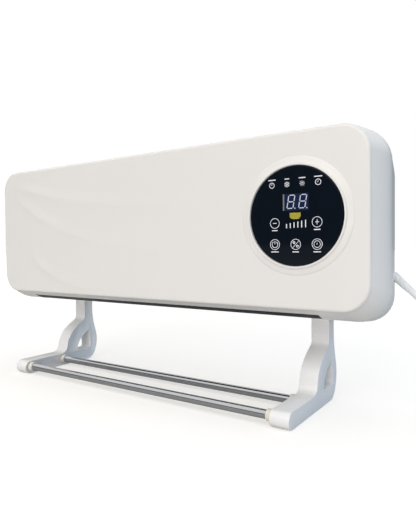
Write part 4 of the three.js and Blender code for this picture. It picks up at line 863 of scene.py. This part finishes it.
# the brackets are moulded apart from the cover; their gloss ABS is painted a little whiter than the
# cover's, as painted light against the shade under the body
bracket_abs_painted_lighter = surface("gloss_abs_painted_lighter", "#efeeea", "#f3f2ef", 60, 9, 0.004, 0.28, IOR=1.53)
for side, ending in ((-1, "left"), (1, "right")):
    bracket_mesh = bmesh.new()
    start = side * STEM_X - BRACKET_THICK / 2
    for ring in ([*front_side, *hole_left], [*rear_side, *hole_right]):
        places = [(start, BRACKET_DEPTH + p.x, p.y - FACE_LOW) for p in ring]
        bracket_mesh.faces.new([bracket_mesh.verts.new(place) for place in places])
    bmesh.ops.remove_doubles(bracket_mesh, verts=bracket_mesh.verts, dist=1e-4)
    made = bmesh.ops.extrude_face_region(bracket_mesh, geom=list(bracket_mesh.faces))["geom"]
    moved = [g for g in made if isinstance(g, bmesh.types.BMVert)]
    bmesh.ops.translate(bracket_mesh, vec=(BRACKET_THICK, 0, 0), verts=moved)
    bmesh.ops.recalc_face_normals(bracket_mesh, faces=bracket_mesh.faces)
    eased(bracket_mesh, RIM_ROUND, 4, 60)
    web = [f for f in bracket_mesh.faces if f.normal.x * side < -0.99 and f.calc_area() > 100]
    bmesh.ops.inset_region(
        bracket_mesh, faces=web, thickness=WEB_RIM, depth=-WEB_SUNK, use_even_offset=True
    )
    bracket = finished(f"bracket_moulding_{ending}", bracket_mesh)
    dress(bracket, bracket_abs_painted_lighter, "housing", [f"bracket_{ending}"])

# ---- towel rails ----
# Two thin-walled steel tubes, chrome-plated, are pushed into blind seats in the brackets. A small
# cream collar hides each joint.
RAIL_RADIUS = 4.5
RAIL_SEAT = 8
RAIL_Z = -98
RAIL_DEPTHS = {"front": -19.5, "rear": 34}
COLLAR_BORE = RAIL_RADIUS + GAP / 2
rail_long = 2 * (STEM_X - BRACKET_THICK / 2 + RAIL_SEAT)
collar_x = STEM_X - BRACKET_THICK / 2 - GAP
# chrome plate: a mirror with a faint drawn wave along the tube
chromed = surface("chrome_plated_steel", "#bcbec1", "#c8cacc", 120, 14, 0.004, 0.06, Metallic=1)
# cream ABS of the collars: a little yellower than the brackets
abs_cream = surface("cream_abs", "#e2dccd", "#ebe5d8", 10, 4, 0.01, 0.3, IOR=1.53)
tube = [(RAIL_RADIUS - 1, 0), (RAIL_RADIUS - 0.2, 0), (RAIL_RADIUS, 0.2), (RAIL_RADIUS, rail_long - 0.2)]
tube += [(RAIL_RADIUS - 0.2, rail_long), (RAIL_RADIUS - 1, rail_long)]
cup = [(COLLAR_BORE, 0), (5.5, 0), (6, 0.5), (6, 4.6), (5.75, 5.4), (5.2, 5.9), (COLLAR_BORE, 6)]
for name, depth in RAIL_DEPTHS.items():
    rail = turned(f"chrome_tube_{name}", tube, (-rail_long / 2, depth, RAIL_Z), (1, 0, 0), closed=True)
    dress(rail, chromed, "housing", [f"{name}_rail"])
    for side, ending in ((-1, "left"), (1, "right")):
        place = (side * collar_x, depth, RAIL_Z)
        collar = turned(f"rail_cup_{name}_{ending}", cup, place, (-side, 0, 0), 40, closed=True)
        dress(collar, abs_cream, "housing", [f"collar_{name}_{ending}"])

# ---- screws ----
# Pan-head steel screws with a slot hold the rear housing and the brackets from behind. They are
# turned and pressed, then zinc-plated.
SCREW_EASE = 0.25
# zinc plate: a cool grey metal with a dull, slightly uneven sheen
zinc = surface("zinc_plated_steel", "#a9adb2", "#bcc0c4", 6, 1.2, 0.01, 0.3, Metallic=1)


def softened(source, name, material, width):
    """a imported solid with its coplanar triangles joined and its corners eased"""
    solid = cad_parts[source]
    bm = bmesh.new()
    bm.from_mesh(solid.data)
    bmesh.ops.transform(bm, matrix=HEATER.inverted() @ solid.matrix_world, verts=bm.verts)
    bmesh.ops.remove_doubles(bm, verts=bm.verts, dist=1e-3)
    bmesh.ops.dissolve_limit(bm, angle_limit=math.radians(1), verts=bm.verts, edges=bm.edges)
    eased(bm, width, 2, 40)
    return dress(finished(name, bm), material, "housing", [source])


for place in ("low_right", "high_right", "low_left", "high_left"):
    softened(f"housing_screw_{place}", f"back_screw_{place}", zinc, SCREW_EASE)
for place in ("left", "right"):
    softened(f"bracket_screw_{place}", f"foot_screw_{place}", zinc, SCREW_EASE)

# ---- intake grille ----
# A white ABS grille clips into the opening in the top. It is moulded in one with its slats, which
# are rounded where fingers reach them.
softened("intake_grille", "grille_moulding", abs_white, 0.4)

# ---- everything inside ----
# The blower, the heater, the ducts and the electrics sit behind the covers and keep their packed
# solids. Each takes the finish that its real piece has.

# moulded ABS of the ducts and the filter's frame: a flat mid grey with a fine grain
grey = surface("grey_abs", "#a9adb1", "#b6babd", 40, 2, 0.02, 0.5, IOR=1.53)
# glass-fibre board under solder resist: dark green, half glossy, with the weave just felt
board = surface("green_circuit_board", "#1b5a38", "#24693f", 6, 1.5, 0.05, 0.35, IOR=1.5)
# rolled aluminium strip, folded: a pale, softly brushed metal
fin = surface("aluminium_strip", "#b5b8bc", "#c8cbce", 12, 1.2, 0.02, 0.35, Metallic=1)
# fired alumina round the heating elements: chalky and off-white
ceramic = surface("alumina_ceramic", "#cfc7b4", "#ddd6c6", 10, 1, 0.03, 0.7, IOR=1.7)
# pressed phenolic of the heater's caps: dark brown with a dull sheen
brown = surface("heatproof_phenolic", "#33271d", "#403226", 12, 1.2, 0.03, 0.55, IOR=1.55)
# moulded rubber of the bearing: black and without a sheen
rubber = surface("black_rubber", "#18181a", "#212123", 15, 1.2, 0.03, 0.8, IOR=1.5)
# moulded PBT cases of the relays and of the capacitor: smooth, strong colours
blue = surface("relay_case_pbt", "#1b3f7d", "#224c8f", 10, 2, 0.01, 0.4, IOR=1.55)
yellow = surface("capacitor_case_pbt", "#b99d2f", "#c9ae3d", 10, 2, 0.01, 0.4, IOR=1.55)
# moulded nylon of the terminals: ivory, waxy
ivory = surface("ivory_nylon", "#d8d3c4", "#e2ddcf", 10, 2, 0.01, 0.45, IOR=1.53)
inside_finish = {
    smoked: ["display_module"],
    board: ["control_board", "power_board"],
    grey: ["dust_filter", "front_guide", "rear_guide", "duct_end_left", "duct_end_right", "louvre_motor"],
    abs_black: ["blower_wheel", "outlet_grille"],
    zinc: ["motor_shaft", "bearing_shaft", "blower_motor", "motor_mount", "thermal_cutout"],
    fin: ["cooling_fins_front", "cooling_fins_middle", "cooling_fins_rear"],
    ceramic: ["ceramic_bar_front", "ceramic_bar_rear"],
    brown: ["heater_cap_left", "heater_cap_right"],
    rubber: ["bearing_bush"],
    blue: ["relay_front", "relay_rear"],
    yellow: ["filter_capacitor"],
    ivory: ["terminal_block"],
}
inside_finish[zinc] += ["louvre_pin_left", "louvre_pin_right", "heater_plate_front", "heater_plate_rear"]
for material, names in inside_finish.items():
    for name in names:
        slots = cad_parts[name].data.materials
        slots.clear()
        slots.append(material)

# ---- floor ----
# The heater stands on a plain sheet of white paper. To the camera the sheet glows towards pure
# white away from the heater, and what the heater mirrors of it is a little warmer.
floor_mesh = bmesh.new()
bmesh.ops.create_grid(floor_mesh, x_segments=1, y_segments=1, size=20)
floor_data = bpy.data.meshes.new("floor")
floor_mesh.to_mesh(floor_data)
floor_mesh.free()
floor = bpy.data.objects.new("floor", floor_data)
bpy.context.scene.collection.objects.link(floor)
paper = bpy.data.materials.new("white_paper")
paper.use_nodes = True
tree = paper.node_tree
tree.nodes.clear()
path = node(tree, "ShaderNodeLightPath", {})
shade = {0: path.outputs["Is Glossy Ray"], 6: (0.54, 0.55, 0.55, 1), 7: (0.54, 0.53, 0.5, 1)}
shade = node(tree, "ShaderNodeMix", shade, data_type="RGBA").outputs[2]
plain = node(tree, "ShaderNodeBsdfDiffuse", {"Color": shade})
spot = node(tree, "ShaderNodeTexCoord", {}).outputs["Object"]
away = node(tree, "ShaderNodeVectorMath", {0: spot}, operation="LENGTH").outputs["Value"]
haze = {"Value": away, "From Min": 0.7, "From Max": 2.5, "To Min": 0.56, "To Max": 1}
haze = node(tree, "ShaderNodeMapRange", haze).outputs[0]
lift = node(tree, "ShaderNodeMath", {0: path.outputs["Is Camera Ray"], 1: haze}, operation="MULTIPLY")
glow = node(tree, "ShaderNodeEmission", {"Color": (1, 0.96, 0.91, 1), "Strength": lift.outputs[0]})
both = node(tree, "ShaderNodeAddShader", {0: plain.outputs[0], 1: glow.outputs[0]})
node(tree, "ShaderNodeOutputMaterial", {"Surface": both.outputs[0]})
floor_data.materials.append(paper)

# ---- surround and lamps ----
# The surround is white to the camera. The heater mirrors it bright overhead and dim near the
# floor, and is lit by it warm from above and cool from the side.
world = bpy.data.worlds.new("studio")
bpy.context.scene.world = world
world.use_nodes = True
tree = world.node_tree
tree.nodes.clear()
path = node(tree, "ShaderNodeLightPath", {})
seen = path.outputs["Is Camera Ray"]
for kind in ("Is Glossy Ray", "Is Transmission Ray"):
    seen = node(tree, "ShaderNodeMath", {0: seen, 1: path.outputs[kind]}, operation="MAXIMUM").outputs[0]
way = node(tree, "ShaderNodeTexCoord", {}).outputs["Generated"]
height = node(tree, "ShaderNodeSeparateXYZ", {"Vector": way}).outputs["Z"]
band = {"Value": height, "From Min": 0.2, "From Max": 0.5, "To Min": 0.18, "To Max": 1}
mirrored = node(tree, "ShaderNodeMapRange", band, interpolation_type="SMOOTHSTEP").outputs[0]
shown = node(tree, "ShaderNodeMix", {0: path.outputs["Is Camera Ray"], 2: mirrored, 3: 1.0}).outputs[0]
white = node(tree, "ShaderNodeCombineColor", {0: shown, 1: shown, 2: shown}).outputs[0]
open_sky = {0: height, 6: (0.14, 0.2, 0.33, 1), 7: (1.05, 1.04, 1.02, 1)}
open_sky = node(tree, "ShaderNodeMix", open_sky, data_type="RGBA").outputs[2]
sky = node(tree, "ShaderNodeMix", {0: seen, 6: open_sky, 7: white}, data_type="RGBA")
around = node(tree, "ShaderNodeBackground", {"Color": sky.outputs[2], "Strength": 1})
node(tree, "ShaderNodeOutputWorld", {"Surface": around.outputs[0]})


def lamp(name, place, aim, size, power, colour):
    """a soft lamp, its size as width and height"""
    light = bpy.data.lights.new(name, "AREA")
    light.shape = "RECTANGLE"
    light.size, light.size_y = size
    light.energy = power
    light.color = colour
    made = bpy.data.objects.new(name, light)
    made.location = place
    made.rotation_euler = (Vector(aim) - Vector(place)).to_track_quat("-Z", "Y").to_euler()
    bpy.context.scene.collection.objects.link(made)
    return made


# a broad warm lamp above the front, a low one that fills the shade, a cool one on the right side
# and a narrow one that draws the light lines on the rounded edges
lamp("key", (0.3, -2.6, 1.8), (0, 0, 0.15), (2.0, 2.0), 24, (1, 0.94, 0.88))
lamp("fill", (0.5, -2.5, 0.2), (0, 0, 0.1), (1.5, 0.4), 19, (1, 0.94, 0.9)).visible_glossy = False
lamp("sky", (1.9, 0.9, 0.7), (0.27, 0, 0.15), (1.5, 1.5), 8, (0.2, 0.55, 1)).visible_glossy = False
lamp("edge", (1.6, -1.2, 0.3), (0.26, 0, 0.15), (0.25, 2.2), 6, (1, 1, 1)).visible_diffuse = False
bpy.context.scene.view_settings.view_transform = "Standard"
